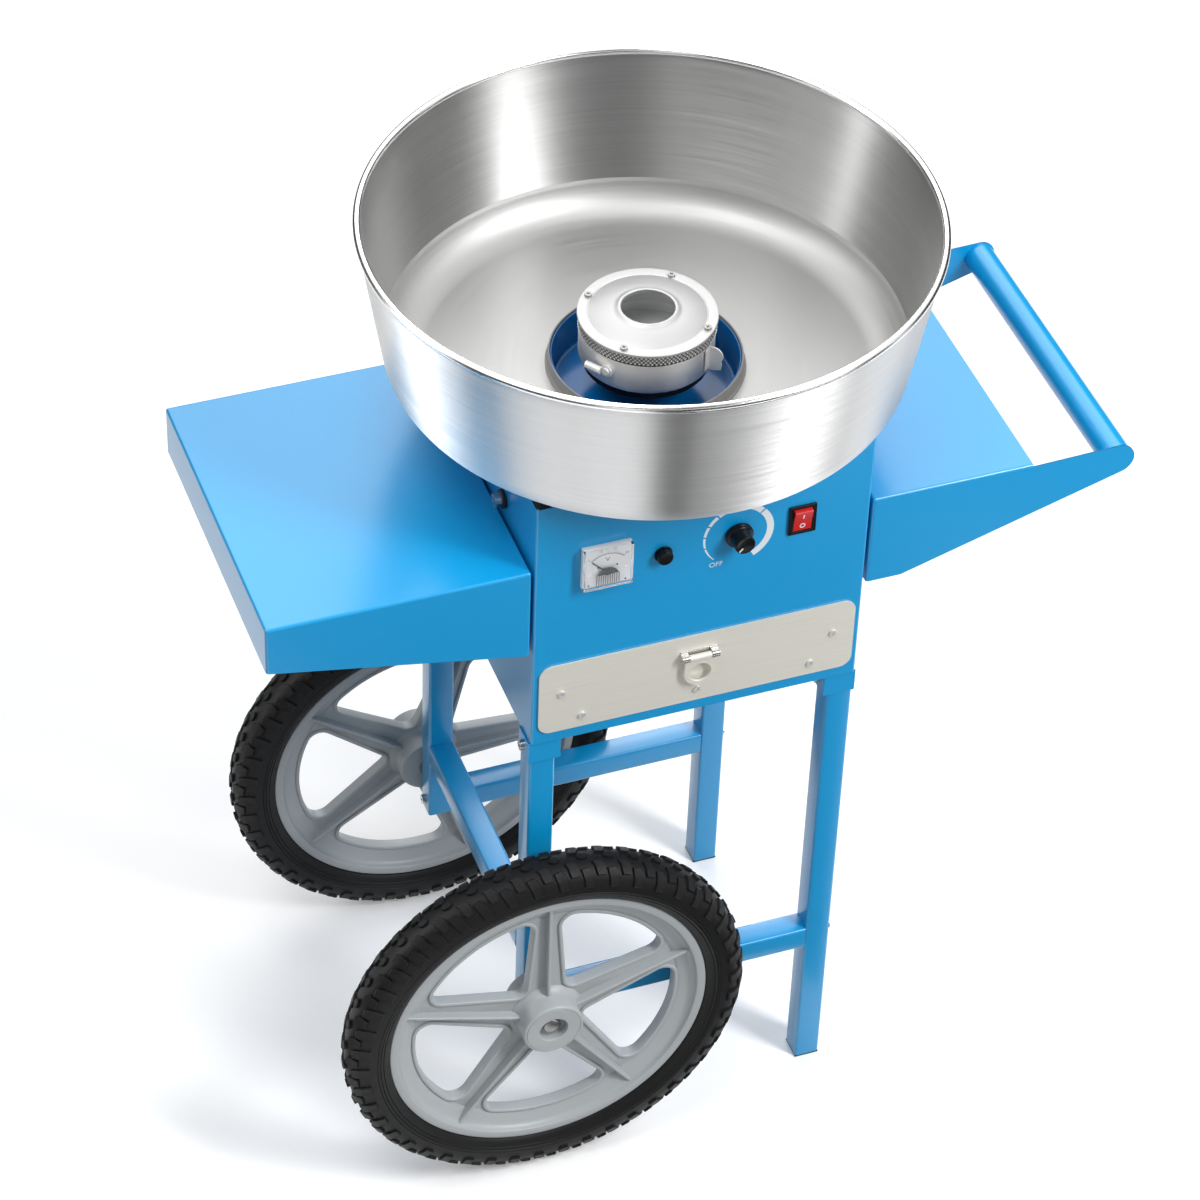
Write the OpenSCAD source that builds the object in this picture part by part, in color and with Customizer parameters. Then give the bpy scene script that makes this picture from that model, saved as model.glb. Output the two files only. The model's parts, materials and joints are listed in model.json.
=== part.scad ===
// Cotton candy cart: a spinning sugar head in a steel bowl, on a cabinet that
// stands on two legs with feet and two legs with wheels, between two shelves.
// Millimetres, +Z up, +X to the handle, -Y to the control panel.
// The origin lies on the floor under the middle of the whole cart.

/* [Cabinet] */
// Height of the cabinet's underside above the floor
leg_h = 524; // [480:1:600]
// Width of the cabinet from side to side
cabinet_w = 316; // [306:1:360]
// Depth of the cabinet from front to back
cabinet_d = 317; // [300:1:360]
// Height of the cabinet's panels
cabinet_h = 280; // [265:1:340]
// Thickness of the folded sheet steel
sheet = 1.5; // [1:0.1:2]
// Depth of the top plate below the panels' upper edge
top_inset = 3; // [2:0.5:6]
// Height of the rubber mat above the panels' upper edge
mat_rise = 1; // [0.5:0.5:4]

/* [Bowl] */
// Radius of the bowl over its rolled rim
bowl_r = 260; // [245:1:280]
// Height of the bowl from its seat to the top of the rim
bowl_h = 163; // [140:1:190]
// Lean of the wall from the rim to the seat
bowl_lean = 26; // [10:1:40]
// Outer radius of the corner between wall and floor
bowl_corner = 38; // [25:1:50]
// Thickness of the bowl's sheet
bowl_sheet = 1.2; // [0.8:0.1:2]
// Diameter of the rolled rim
rim_d = 7.4; // [5:0.2:10]
// Height of the rubber seal above the bowl's floor
seal_h = 13; // [10:0.5:18]
// Width of the seal's flange on the bowl's floor
seal_flange = 2.6; // [2:0.2:6]

/* [Well and drive] */
// Inner radius of the well around the spinning head
well_r = 84; // [76:0.5:90]
// Depth of the well's floor below the panels' upper edge
well_depth = 25; // [16:1:30]
// Radius of the hole in the well's floor
well_hole_r = 16; // [15:1:56]
// Width of the flange that hangs the well on the top plate
well_flange = 12; // [8:1:16]
// Gap between the well's floor and the motor bracket's plate
bracket_drop = 32; // [28:1:40]
// Thickness of the motor bracket's plate
bracket_t = 3; // [2:0.5:5]
// Radius of the motor bracket's plate
bracket_r = 72; // [70:1:76]
// Radius of the motor bracket's posts
post_r = 4; // [3:0.5:6]
// Outer radius of the motor's can
motor_r = 42; // [36:1:50]
// Length of the motor's can
motor_h = 92; // [70:1:100]
// Wall of the motor's can
motor_wall = 2; // [1.5:0.5:3]
// Radius of the rotor
rotor_r = 25; // [18:0.5:28]
// Radius of the shaft from the motor to the head
shaft_r = 5; // [4:0.5:6]
// Outer radius of the slip rings
slip_r = 14; // [12:0.5:16]
// Height of one slip ring
slip_h = 6; // [4:0.5:8]

/* [Spinning head] */
// Radius of the head's lid
head_r = 63; // [58:0.5:66]
// Height of the head's underside above the bowl's floor
head_lift = 11; // [9:0.5:24]
// Height of the head's base
base_h = 34; // [26:0.5:40]
// Height of the head's perforated band
band_h = 10; // [8:0.5:14]
// Rise of the lid's cone
lid_rise = 4; // [2:0.5:8]
// Radius of the sugar opening in the lid
sugar_r = 24; // [18:0.5:28]
// Thickness of the head's wall
head_wall = 2.5; // [2:0.1:3.5]

/* [Left shelf] */
// Reach of the left shelf from the bowl's axis
left_reach = 402; // [330:1:460]
// Depth of the shelves' tops below the panels' upper edge
shelf_drop = 72; // [55:1:90]
// Front to back depth of the left shelf
shelf_d = 315; // [290:1:340]
// Height of the apron at the shelf's far end
apron_tip_h = 50; // [35:1:80]
// Height of both shelves' aprons at the cabinet
apron_root_h = 98; // [90:1:120]
// Gap between the shelves and the cabinet
shelf_gap = 2.5; // [1:0.5:5]

/* [Right shelf and handle] */
// Reach of the handle from the bowl's axis
right_reach = 418; // [390:1:460]
// Length of the right shelf's top
right_top_len = 156; // [120:1:170]
// Length of the straight lower edge of the handle's side plates
plate_foot = 34; // [20:1:60]
// Radius of the round end of the side plates
plate_end_r = 16; // [15.5:0.5:22]
// Radius of the handle's tube
handle_r = 14.5; // [12:0.5:15]

/* [Legs and braces] */
// Side of the square leg tube
leg_w = 25; // [22:1:30]
// Wall of the leg tube
tube_wall = 1.5; // [1:0.1:2.5]
// Distance of the legs behind the cabinet's front and back
leg_inset = 3; // [2:0.5:8]
// Height of the braces' underside above the floor
brace_z = 160; // [120:1:170]
// Height of the cross beam's underside above the floor
beam_z = 232; // [228:1:300]
// Height of the sockets under the cabinet
socket_h = 24; // [20:1:40]
// Spare room beside a leg in its socket
socket_room = 3; // [2:0.5:6]
// Radius of the frame's bolts
bolt_r = 3; // [2.5:0.5:4]
// Thickness of the feet's flanges
foot_t = 2; // [1.5:0.5:5]

/* [Wheels] */
// Radius of a wheel over its tyre
wheel_r = 200; // [190:1:206]
// Width of the tyre
tyre_w = 48; // [40:1:60]
// Radius of the rim that carries the tyre
rim_r = 158; // [150:1:170]
// Width of the rim
rim_w = 32; // [26:1:38]
// Width of the rim's flat outer ring
rim_ring = 9; // [6:0.5:12]
// Outer radius of the windows between the spokes
window_r = 130; // [118:1:134]
// Width of a spoke at the rim
spoke_tip_w = 24; // [18:1:34]
// Width of a spoke at the hub
spoke_root_w = 38; // [30:1:44]
// Number of spokes
spoke_count = 5; // [4:1:6]
// Rest angle of the rear wheel, clockwise seen from the front
rear_wheel_turn = 18; // [0:1:72]
// Thickness of the web that the spokes are cut from
web_t = 8; // [5:0.5:14]
// Radius of the hub
hub_r = 30; // [26:0.5:34]
// Length of the hub on the cart's side of the rim's middle
hub_in = 26.5; // [20:0.5:34]
// Length of the hub on the outer side of the rim's middle
hub_out = 28.5; // [20:0.5:36]
// Gap between a hub and its leg, filled by the axle's collar
wheel_gap = 4.5; // [3:0.5:10]
// Radius of the stub axles
axle_r = 6; // [5:0.5:7]
// Offset of the axle from the middle of its leg, away from the bowl
axle_offset = 2.5; // [0:0.5:4]

/* [Drawer] */
// Width of the drawer's front plate
front_w = 304; // [270:1:306]
// Height of the drawer's front plate
front_h = 80.5; // [70:0.5:90]
// Height of the front plate's lower edge above the cabinet's underside
front_lift = 12.5; // [10:0.5:20]
// Radius of the front plate's corners
front_corner = 12; // [4:0.5:20]
// Overlap of the front plate around its opening
front_lap = 8; // [6:0.5:14]
// Length of the drawer's box
drawer_len = 288; // [230:1:290]
// Thickness of the drawer's sheet
drawer_sheet = 1.2; // [0.8:0.1:2]
// Depth of the pull's pin below the front plate's upper edge
pull_drop = 22.5; // [20:0.5:30]
// Width of the ring pull
pull_w = 34; // [28:0.5:40]
// Radius of the finger hole in the ring pull
pull_hole_r = 10.5; // [8:0.5:13]

/* [Controls] */
// Distance of the instruments' line below the panels' upper edge
panel_line = 77; // [70:0.5:84]
// Width of the voltmeter
meter_w = 46; // [40:0.5:54]
// Height of the voltmeter
meter_h = 45; // [40:0.5:60]
// Distance of the voltmeter's middle left of the bowl's axis
meter_x = 93; // [85:0.5:105]
// Height of the voltmeter's middle above the instruments' line
meter_rise = 1; // [0:0.5:10]
// Distance of the fuse holder left of the bowl's axis
fuse_x = 39; // [34:0.5:46]
// Depth of the fuse holder below the instruments' line
fuse_drop = 4; // [0:0.5:10]
// Radius of the fuse holder's flange
fuse_r = 8.5; // [7.5:0.5:11]
// Distance of the heat knob right of the bowl's axis
knob_x = 32; // [24:0.5:40]
// Radius of the knob's skirt
knob_r = 13; // [10:0.5:16]
// Height of the knob in front of the panel
knob_h = 17.5; // [14:0.5:24]
// Distance of the rocker switch right of the bowl's axis
switch_x = 92; // [84:0.5:102]
// Width of the switch's bezel
switch_w = 26; // [22:0.5:30]
// Height of the switch's bezel
switch_h = 32; // [28:0.5:36]
// Tilt of the rocker either way from the middle
rocker_tilt = 9; // [5:0.5:12]

/* [Fits] */
// Radial clearance of a shaft or pin that turns in its bore
run_gap = 0.08; // [0.02:0.01:0.1]
// Clearance of fixed pins, bolts and plugs in their holes
fit_gap = 0.1; // [0.05:0.05:0.3]
// Gap between faces of pieces that move past each other
slide_gap = 0.3; // [0.2:0.05:0.6]

/* [Hidden] */
$fn = 96;
blue = [0.02, 0.55, 0.82];
steel = [0.78, 0.78, 0.77];
bright = [0.9, 0.9, 0.9];
black = [0.07, 0.07, 0.07];
grey = [0.72, 0.75, 0.78];
brass = [0.8, 0.65, 0.3];
glass = [0.85, 0.9, 0.92, 0.5];
red = [0.8, 0.05, 0.05];
overcut = 1;

// Levels and faces of the cabinet
cab_x = cabinet_w / 2;
cab_y = cabinet_d / 2;
cab_top = leg_h + cabinet_h;
plate_top = cab_top - top_inset;
seat_z = cab_top + mat_rise;
axis_x = (left_reach - right_reach) / 2;

// Bowl and seal
bowl_floor = seat_z + bowl_sheet;
bowl_top = seat_z + bowl_h;
bead_r = rim_d / 2;
wall_top_r = bowl_r - bead_r + bowl_sheet / 2;
wall_angle = atan2(bowl_lean, bowl_h - bead_r);
corner_z = seat_z + bowl_corner;
corner_r = wall_top_r - bowl_lean + bowl_corner * tan(wall_angle) - bowl_corner / cos(wall_angle);
seal_wall = 1.6;
seal_foot_h = 2;
seal_in_r = well_r + sheet + slide_gap;
bowl_hole_r = seal_in_r + seal_wall;
seal_out_r = bowl_hole_r + seal_flange;
seal_below = 1.5;

// Well, bracket and motor
well_top = bowl_floor + seal_h - 2;
well_floor = cab_top - well_depth;
well_out_r = well_r + sheet;
bracket_top = well_floor - bracket_drop;
motor_top = bracket_top - bracket_t;
motor_foot = motor_top - motor_h;
post_ring = (well_hole_r + well_out_r) / 2;
rotor_end_gap = 14;
rotor_gap = 0.6;
slip_gap = 4;
slip_z = bracket_top + 6;
sleeve_h = 2 * slip_h + slip_gap + 4;
sleeve_r = slip_r - 5;

// Head
head_z = bowl_floor + head_lift;
band_z = head_z + base_h;
lid_z = band_z + band_h;
lid_ring_t = 3;
lid_ring_w = 9.5;
lid_lip = 4;
lid_lip_h = 2;
lid_t = 2;
head_round = 7;
base_r = head_r - 2;
shield_r = base_r - 4;
shield_t = 6;
head_boss_r = 14;
head_boss_h = 15;
ledge_w = 4;
ledge_h = 20;
heater_w = 8;
heater_h = 11;
head_screw_ring = head_r - 6;
head_screw_r = 1.5;
head_screw_turn = 48;
lug_turn = 215;
ear_turn = -46;

// Shelves
shelf_z = cab_top - shelf_drop;
shelf_root = cab_x + shelf_gap;
shelf_bolt_y = 100;
shelf_bolt_drop = 45;
bolt_bite = 6;
bolt_head_r = 5;
bolt_head_h = 4;
side_bolt_y = 75;
side_bolt_rise = 18;
side_bolt_head_r = 6.5;
side_bolt_head_h = 6;
side_washer_r = 9;
side_washer_t = 4;
shelf_washer_r = 8;
plate_end_x = right_reach - plate_end_r;
plate_end_z = shelf_z - plate_end_r;
plate_y = cab_y;

// Legs, sockets and braces
leg_out_x = cab_x;
leg_mid_x = leg_out_x - leg_w / 2;
leg_face_y = cab_y - leg_inset;
leg_mid_y = leg_face_y - leg_w / 2;
socket_t = 1.5;
leg_bolt_z = leg_h - socket_h / 2;
brace_bolt_z = brace_z + leg_w / 2;
tube_end = 3;
foot_plug_h = 15;

// Wheels and axles
wheel_x = leg_mid_x + axle_offset;
wheel_z = wheel_r;
hub_start_y = leg_face_y + wheel_gap;
wheel_y = hub_start_y + hub_in;
hub_recess_r = 14;
hub_recess = 8;
axle_cap_r = 9;
axle_cap_h = 5;
axle_collar_r = 11;
window_corner = 13;
window_tip = 10;
window_tip_r = 40;
window_steps = 6;
rib_t = 3.2;
rib_h = 26;
spoke_step = 360 / spoke_count;
lip_w = 3.5;
lip_h = 2;
spoke_fall = (spoke_root_w - spoke_tip_w) / 2 / (window_r - window_tip_r);
spoke_lean = atan(spoke_fall);
spoke_half_0 = spoke_root_w / 2 + spoke_fall * window_tip_r;
spoke_slope = sqrt(1 + spoke_fall * spoke_fall);
corner_ring = window_r - window_corner;
corner_reach = window_corner + spoke_half_0 / spoke_slope;
corner_turn = asin(corner_reach / corner_ring) - spoke_lean;

// Drawer and its pull
front_z = leg_h + front_lift;
front_back_y = cab_y + slide_gap;
front_face_y = front_back_y + sheet;
open_x = front_w / 2 - front_lap;
open_z0 = front_z + front_lap;
open_z1 = front_z + front_h - front_lap;
drawer_play = 2;
drawer_x = open_x - drawer_play;
drawer_z0 = open_z0 + drawer_play;
drawer_z1 = open_z1 - drawer_play;
drawer_back_y = drawer_len - front_back_y;
runner_w = 24;
runner_h = 28;
screw_head_r = 3.5;
screw_head_h = 1.8;
screw_r = 1.5;
screw_side_in = 21.2;
screw_side_drop = 35;
screw_low_in = 41.5;
screw_low_rise = 4;
screw_side_x = front_w / 2 - screw_side_in;
screw_side_z = front_z + front_h - screw_side_drop;
screw_low_x = front_w / 2 - screw_low_in;
screw_low_z = drawer_z0 + screw_low_rise;
pull_z = front_z + front_h - pull_drop;
pull_base_t = 1;
pull_pin_r = 1.5;
pull_barrel_r = 3.2;
pull_y = front_face_y + pull_base_t + pull_barrel_r + 2 * slide_gap;
knuckle_r = 3.6;
knuckle_w = 7;
knuckle_gap = 0.4;
barrel_x = pull_w / 2 - knuckle_w + 1 - knuckle_gap;
pull_t = 2.5;
pull_rim = 4.5;
pull_hole_drop = 18.5;

// Controls
line_z = cab_top - panel_line;
meter_z = line_z + meter_rise;
fuse_z = line_z - fuse_drop;
switch_z = line_z + 2;
meter_base_t = 4.5;
meter_cover_t = 5;
meter_cover_wall = 1.5;
meter_can_r = 19;
meter_can_len = 28;
dial_t = 0.6;
needle_len = 21;
needle_pivot_drop = 6.5;
needle_turn = -45;
needle_t = 0.5;
needle_hub_r = 2.5;
fuse_flange_t = 2;
fuse_cap_r = fuse_r - 1;
fuse_cap_h = 6;
fuse_body_r = 6;
fuse_body_len = 36;
fuse_stem_r = 3.5;
fuse_stem_len = 26;
regulator_side = 40;
regulator_depth = 26;
knob_shaft_r = 3;
knob_shaft_len = 14;
knob_skirt_h = 4;
knob_cap_r = knob_r - 3.5;
knob_off_angle = 228;
pointer_w = 1.6;
bezel_t = 2.5;
bezel_rim = 4;
bezel_end = 3;
rocker_room = 0.4;
switch_body_depth = 30;
switch_body_inset = 2;
rocker_pivot_y = cab_y - 1;
rocker_w = switch_w - 2 * bezel_rim - 2 * slide_gap;
rocker_r = switch_h / 2 - bezel_end - rocker_room;
rocker_rise = 5;
recess_depth = 12;
gland_x = 110;
gland_rise = 130;
gland_z = leg_h + gland_rise;
gland_r = 11;
gland_bore_r = 3.5;
gland_stem_r = 8;
gland_flange_t = 4;
gland_nose = 12;
gland_tail = 10;

// Points along an arc, from angle a0 to angle a1
function arc(c, r, a0, a1, n) = [
    for (i = [0:n]) let (a = a0 + (a1 - a0) * i / n) c + r * [cos(a), sin(a)]
];

// Shapes that repeat
module on_axis() { translate([axis_x, 0, 0]) children(); }
module box(lo, hi) { translate(lo) cube(hi - lo); }
module rod_x(x0, x1, y, z, r) { translate([x0, y, z]) rotate([0, 90, 0]) cylinder(h = x1 - x0, r = r); }
module rod_y(y0, y1, x, z, r) { translate([x, y0, z]) rotate([-90, 0, 0]) cylinder(h = y1 - y0, r = r); }
module slab_x(x0, x1) { translate([x0, 0, 0]) rotate([90, 0, 90]) linear_extrude(x1 - x0) children(); }
module slab_y(y0, y1) { translate([0, y1, 0]) rotate([90, 0, 0]) linear_extrude(y1 - y0) children(); }
module both_sides() { children(); mirror([1, 0, 0]) children(); }
module front_and_back() { children(); mirror([0, 1, 0]) children(); }
module ring(r0, r1, z0, z1) {
    translate([0, 0, z0]) difference() {
        cylinder(h = z1 - z0, r = r1);
        translate([0, 0, -overcut]) cylinder(h = z1 - z0 + 2 * overcut, r = r0);
    }
}

// Cabinet: six sheets and the mat that the bowl stands on
module side_bolt_holes(x0, x1) {
    for (y = [-shelf_bolt_y, shelf_bolt_y]) {
        rod_x(x0, x1, y, shelf_z - shelf_bolt_drop, bolt_r + fit_gap);
    }
    for (y = [-side_bolt_y, side_bolt_y]) {
        rod_x(x0, x1, y, shelf_z + side_bolt_rise, bolt_r + fit_gap);
    }
}

module side_panel() {
    difference() {
        box([cab_x - sheet, -cab_y + sheet, leg_h], [cab_x, cab_y - sheet, cab_top]);
        side_bolt_holes(cab_x - sheet - overcut, cab_x + overcut);
    }
}

module base_plate() {
    color(blue) on_axis()
        box([-cab_x + sheet, -cab_y + sheet, leg_h], [cab_x - sheet, cab_y - sheet, leg_h + sheet]);
}

module left_side_panel() { color(blue) on_axis() mirror([1, 0, 0]) side_panel(); }

module right_side_panel() { color(blue) on_axis() side_panel(); }

module back_panel() {
    color(blue) on_axis() difference() {
        box([-cab_x, cab_y - sheet, leg_h], [cab_x, cab_y, cab_top]);
        rod_y(cab_y - sheet - overcut, cab_y + overcut, gland_x, gland_z, gland_stem_r + fit_gap);
    }
}

module front_panel() {
    y0 = -cab_y - overcut;
    y1 = -cab_y + sheet + overcut;
    body_x = switch_w / 2 - switch_body_inset + fit_gap;
    body_z = switch_h / 2 - switch_body_inset + fit_gap;
    color(blue) on_axis() difference() {
        box([-cab_x, -cab_y, leg_h], [cab_x, -cab_y + sheet, cab_top]);
        box([-open_x, y0, open_z0], [open_x, y1, open_z1]);
        rod_y(y0, y1, -meter_x, meter_z, meter_can_r + fit_gap);
        rod_y(y0, y1, -fuse_x, fuse_z, fuse_body_r + fit_gap);
        rod_y(y0, y1, knob_x, line_z, knob_shaft_r + 2 * slide_gap);
        box([switch_x - body_x, y0, switch_z - body_z], [switch_x + body_x, y1, switch_z + body_z]);
    }
}

module top_plate() {
    color(blue) on_axis() difference() {
        box([-cab_x + sheet, -cab_y + sheet, plate_top - sheet], [cab_x - sheet, cab_y - sheet, plate_top]);
        translate([0, 0, plate_top - sheet - overcut])
            cylinder(h = sheet + 2 * overcut, r = well_out_r + fit_gap);
    }
}

module bowl_mat() {
    edge = sheet + slide_gap;
    color(black) on_axis() difference() {
        box([-cab_x + edge, -cab_y + edge, plate_top], [cab_x - edge, cab_y - edge, seat_z]);
        translate([0, 0, plate_top - overcut])
            cylinder(h = seat_z - plate_top + 2 * overcut, r = well_out_r + well_flange + fit_gap);
    }
}

// Well, motor bracket and motor
module well_cup() {
    color(blue) on_axis() rotate_extrude() polygon([
        [well_hole_r, well_floor], [well_out_r, well_floor], [well_out_r, plate_top],
        [well_out_r + well_flange, plate_top], [well_out_r + well_flange, plate_top + sheet],
        [well_out_r, plate_top + sheet], [well_out_r, well_top], [well_r, well_top],
        [well_r, well_floor + sheet], [well_hole_r, well_floor + sheet]
    ]);
}

module motor_bracket() {
    color(steel) on_axis() {
        ring(shaft_r + run_gap, bracket_r, motor_top, bracket_top);
        for (turn = [45:90:315]) {
            rotate(turn) translate([post_ring, 0, bracket_top - overcut])
                cylinder(h = bracket_drop + overcut, r = post_r);
        }
    }
}

module motor_can() {
    floor_t = 2 * motor_wall;
    color(steel) on_axis() {
        ring(motor_r - motor_wall, motor_r, motor_foot, motor_top);
        ring(shaft_r + run_gap, motor_r, motor_foot, motor_foot + floor_t);
    }
}

module stator() {
    outer = motor_r - motor_wall - fit_gap;
    color(brass) on_axis()
        ring(rotor_r + rotor_gap, outer, motor_foot + rotor_end_gap, motor_top - rotor_end_gap);
}

module rotor_shaft() {
    shaft_top = head_z + head_boss_h;
    color(steel) on_axis() {
        translate([0, 0, motor_foot]) cylinder(h = shaft_top - motor_foot, r = shaft_r);
        translate([0, 0, motor_foot + rotor_end_gap])
            cylinder(h = motor_h - 2 * rotor_end_gap, r = rotor_r);
    }
}

// The sleeve of the slip rings widens to a black heat shield under the head
module slip_sleeve() {
    color(black) on_axis() {
        ring(shaft_r + fit_gap, sleeve_r, slip_z - 2, head_z);
        ring(shaft_r + fit_gap, shield_r, head_z - shield_t, head_z);
    }
}

module slip_rings() {
    color(brass) on_axis() for (z = [slip_z, slip_z + slip_h + slip_gap]) {
        ring(sleeve_r + fit_gap, slip_r, z, z + slip_h);
    }
}

module brush_holder() {
    brush_x = slip_r + slide_gap;
    brush_w = 5;
    holder_w = 10;
    holder_len = 22;
    color(black) on_axis() rotate(180) {
        box([brush_x + 4, -holder_w, bracket_top], [brush_x + holder_len, holder_w, slip_z + sleeve_h]);
        for (z = [slip_z, slip_z + slip_h + slip_gap]) {
            box([brush_x, -brush_w, z + 1], [brush_x + 5, brush_w, z + slip_h - 1]);
        }
    }
}

// Spinning head
module head_base() {
    round_c = [base_r - head_round, head_z + head_round];
    inner_r = base_r - head_wall;
    ledge_z = head_z + ledge_h;
    floor_z = head_z + head_wall + ledge_w;
    color(bright) on_axis() rotate_extrude() polygon(concat(
        [[shaft_r + fit_gap, head_z]],
        arc(round_c, head_round, -90, 0, 8),
        [[base_r, band_z], [inner_r, band_z], [inner_r, ledge_z], [inner_r - ledge_w, ledge_z]],
        [[inner_r - ledge_w, floor_z], [head_boss_r, floor_z], [head_boss_r, head_z + head_boss_h]],
        [[shaft_r + fit_gap, head_z + head_boss_h]]
    ));
}

module heater_ring() {
    outer = base_r - head_wall - fit_gap;
    color(steel) on_axis() ring(outer - heater_w, outer, head_z + ledge_h, head_z + ledge_h + heater_h);
}

module head_band() {
    color(steel) on_axis() difference() {
        ring(head_r - 10, head_r - 0.8, band_z, lid_z);
        head_screw_places() cylinder(h = lid_z, r = head_screw_r + fit_gap);
    }
}

module head_screw_places() {
    for (k = [0:3]) {
        rotate(head_screw_turn + 90 * k) translate([head_screw_ring, 0, 0]) children();
    }
}

module head_lid() {
    ring_in = head_r - lid_ring_w;
    lip_out = sugar_r + lid_lip;
    ring_top = lid_z + lid_ring_t;
    color(bright) on_axis() difference() {
        rotate_extrude() polygon([
            [head_r, lid_z], [head_r, ring_top], [ring_in, ring_top],
            [lip_out, ring_top + lid_rise], [lip_out, ring_top + lid_rise + lid_lip_h],
            [sugar_r, ring_top + lid_rise + lid_lip_h], [sugar_r, ring_top + lid_rise - lid_t],
            [ring_in, ring_top - lid_t], [ring_in, lid_z]
        ]);
        head_screw_places() cylinder(h = 2 * lid_z, r = head_screw_r + fit_gap);
    }
}

module head_screws() {
    head_screw_head_r = 3.4;
    head_screw_head_h = 2;
    color(bright) on_axis() head_screw_places() {
        translate([0, 0, lid_z + lid_ring_t]) cylinder(h = head_screw_head_h, r = head_screw_head_r);
        translate([0, 0, band_z + 2]) cylinder(h = lid_z + lid_ring_t - band_z - 2 + 0.5, r = head_screw_r);
    }
}

// A ring terminal with its wire sleeve, and a flat ear, on the head's side
module head_terminals() {
    lug_r = 6;
    lug_t = 2;
    nut_r = 3.5;
    sleeve_len = 14;
    lug_z = head_z + ledge_h;
    ear_len = 14;
    ear_h = 27;
    ear_t = 1.2;
    ear_z = head_z + 5;
    ear_x = base_r + ear_len;
    ear_round = 8;
    foot_w = 9;
    color(steel) on_axis() {
        rotate(lug_turn) {
            rod_x(base_r, base_r + lug_t, 0, lug_z, lug_r);
            rod_x(base_r, base_r + 2 * lug_t, 0, lug_z, nut_r);
            rod_y(-lug_r - sleeve_len, -lug_r + 2, base_r + nut_r + 0.6, lug_z, nut_r);
        }
        rotate(ear_turn) {
            slab_y(-ear_t, 0) polygon(concat(
                [[base_r + ear_t / 2, ear_z], [ear_x - 1.5, ear_z + 4], [ear_x - 1, ear_z + 10]],
                arc([ear_x - ear_round, ear_z + ear_h - ear_round], ear_round, -40, 90, 12),
                [[base_r + ear_t / 2, ear_z + ear_h]]
            ));
            box([base_r, -foot_w, ear_z + 4], [base_r + ear_t, -ear_t / 2, ear_z + ear_h - 1]);
        }
    }
}

// Bowl of one spun sheet with a rolled rim, and the seal around its hole
module bowl() {
    corner_c = [corner_r, corner_z];
    inner_corner = bowl_corner - bowl_sheet;
    lean = [cos(wall_angle), -sin(wall_angle)];
    bead_c = [bowl_r - bead_r, bowl_top - bead_r];
    color(steel) on_axis() rotate_extrude() union() {
        polygon(concat(
            [[bowl_hole_r, seat_z]],
            arc(corner_c, bowl_corner, -90, -wall_angle, 12),
            [bead_c + lean * bowl_sheet / 2, bead_c - lean * bowl_sheet / 2],
            arc(corner_c, inner_corner, -wall_angle, -90, 12),
            [[bowl_hole_r, bowl_floor]]
        ));
        translate(bead_c) circle(r = bead_r);
    }
}

module bowl_seal() {
    color(grey) on_axis() rotate_extrude() polygon([
        [seal_in_r, seat_z - seal_below], [bowl_hole_r - fit_gap, seat_z - seal_below],
        [bowl_hole_r - fit_gap, bowl_floor], [seal_out_r, bowl_floor],
        [seal_out_r, bowl_floor + seal_foot_h / 2], [bowl_hole_r, bowl_floor + seal_foot_h],
        [bowl_hole_r, bowl_floor + seal_h], [seal_in_r, bowl_floor + seal_h]
    ]);
}

// Left shelf: an upside-down tray whose long sides deepen towards the cabinet
module left_shelf() {
    y1 = shelf_d / 2;
    color(blue) on_axis() mirror([1, 0, 0]) difference() {
        union() {
            box([shelf_root, -y1, shelf_z - sheet], [left_reach, y1, shelf_z]);
            box([left_reach - sheet, -y1, shelf_z - apron_tip_h], [left_reach, y1, shelf_z]);
            box([shelf_root, -y1, shelf_z - apron_root_h], [shelf_root + sheet, y1, shelf_z]);
            front_and_back() slab_y(-y1, -y1 + sheet) polygon([
                [shelf_root, shelf_z], [shelf_root, shelf_z - apron_root_h],
                [left_reach, shelf_z - apron_tip_h], [left_reach, shelf_z]
            ]);
        }
        side_bolt_holes(shelf_root - overcut, shelf_root + sheet + overcut);
    }
}

// Right shelf: one folded sheet whose two side plates run on to the handle
module side_plate_outline() {
    foot = [shelf_root + plate_foot, shelf_z - apron_root_h];
    reach = [plate_end_x, plate_end_z] - foot;
    tangent = atan2(reach[1], reach[0]) + asin(plate_end_r / norm(reach)) - 90;
    polygon(concat(
        [[shelf_root, shelf_z], [shelf_root, shelf_z - apron_root_h], foot],
        arc([plate_end_x, plate_end_z], plate_end_r, tangent, 90, 12)
    ));
}

module right_shelf() {
    y1 = plate_y;
    color(blue) on_axis() difference() {
        union() {
            box([shelf_root, -y1, shelf_z - sheet], [shelf_root + right_top_len, y1, shelf_z]);
            box([shelf_root, -y1, shelf_z - apron_root_h], [shelf_root + sheet, y1, shelf_z]);
            front_and_back() slab_y(-y1, -y1 + sheet) side_plate_outline();
        }
        side_bolt_holes(shelf_root - overcut, shelf_root + sheet + overcut);
    }
}

module handle_tube() {
    half = plate_y - sheet;
    color(blue) on_axis() difference() {
        rod_y(-half, half, plate_end_x, plate_end_z, handle_r);
        rod_y(-half - overcut, half + overcut, plate_end_x, plate_end_z, handle_r - tube_wall);
    }
}

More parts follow.
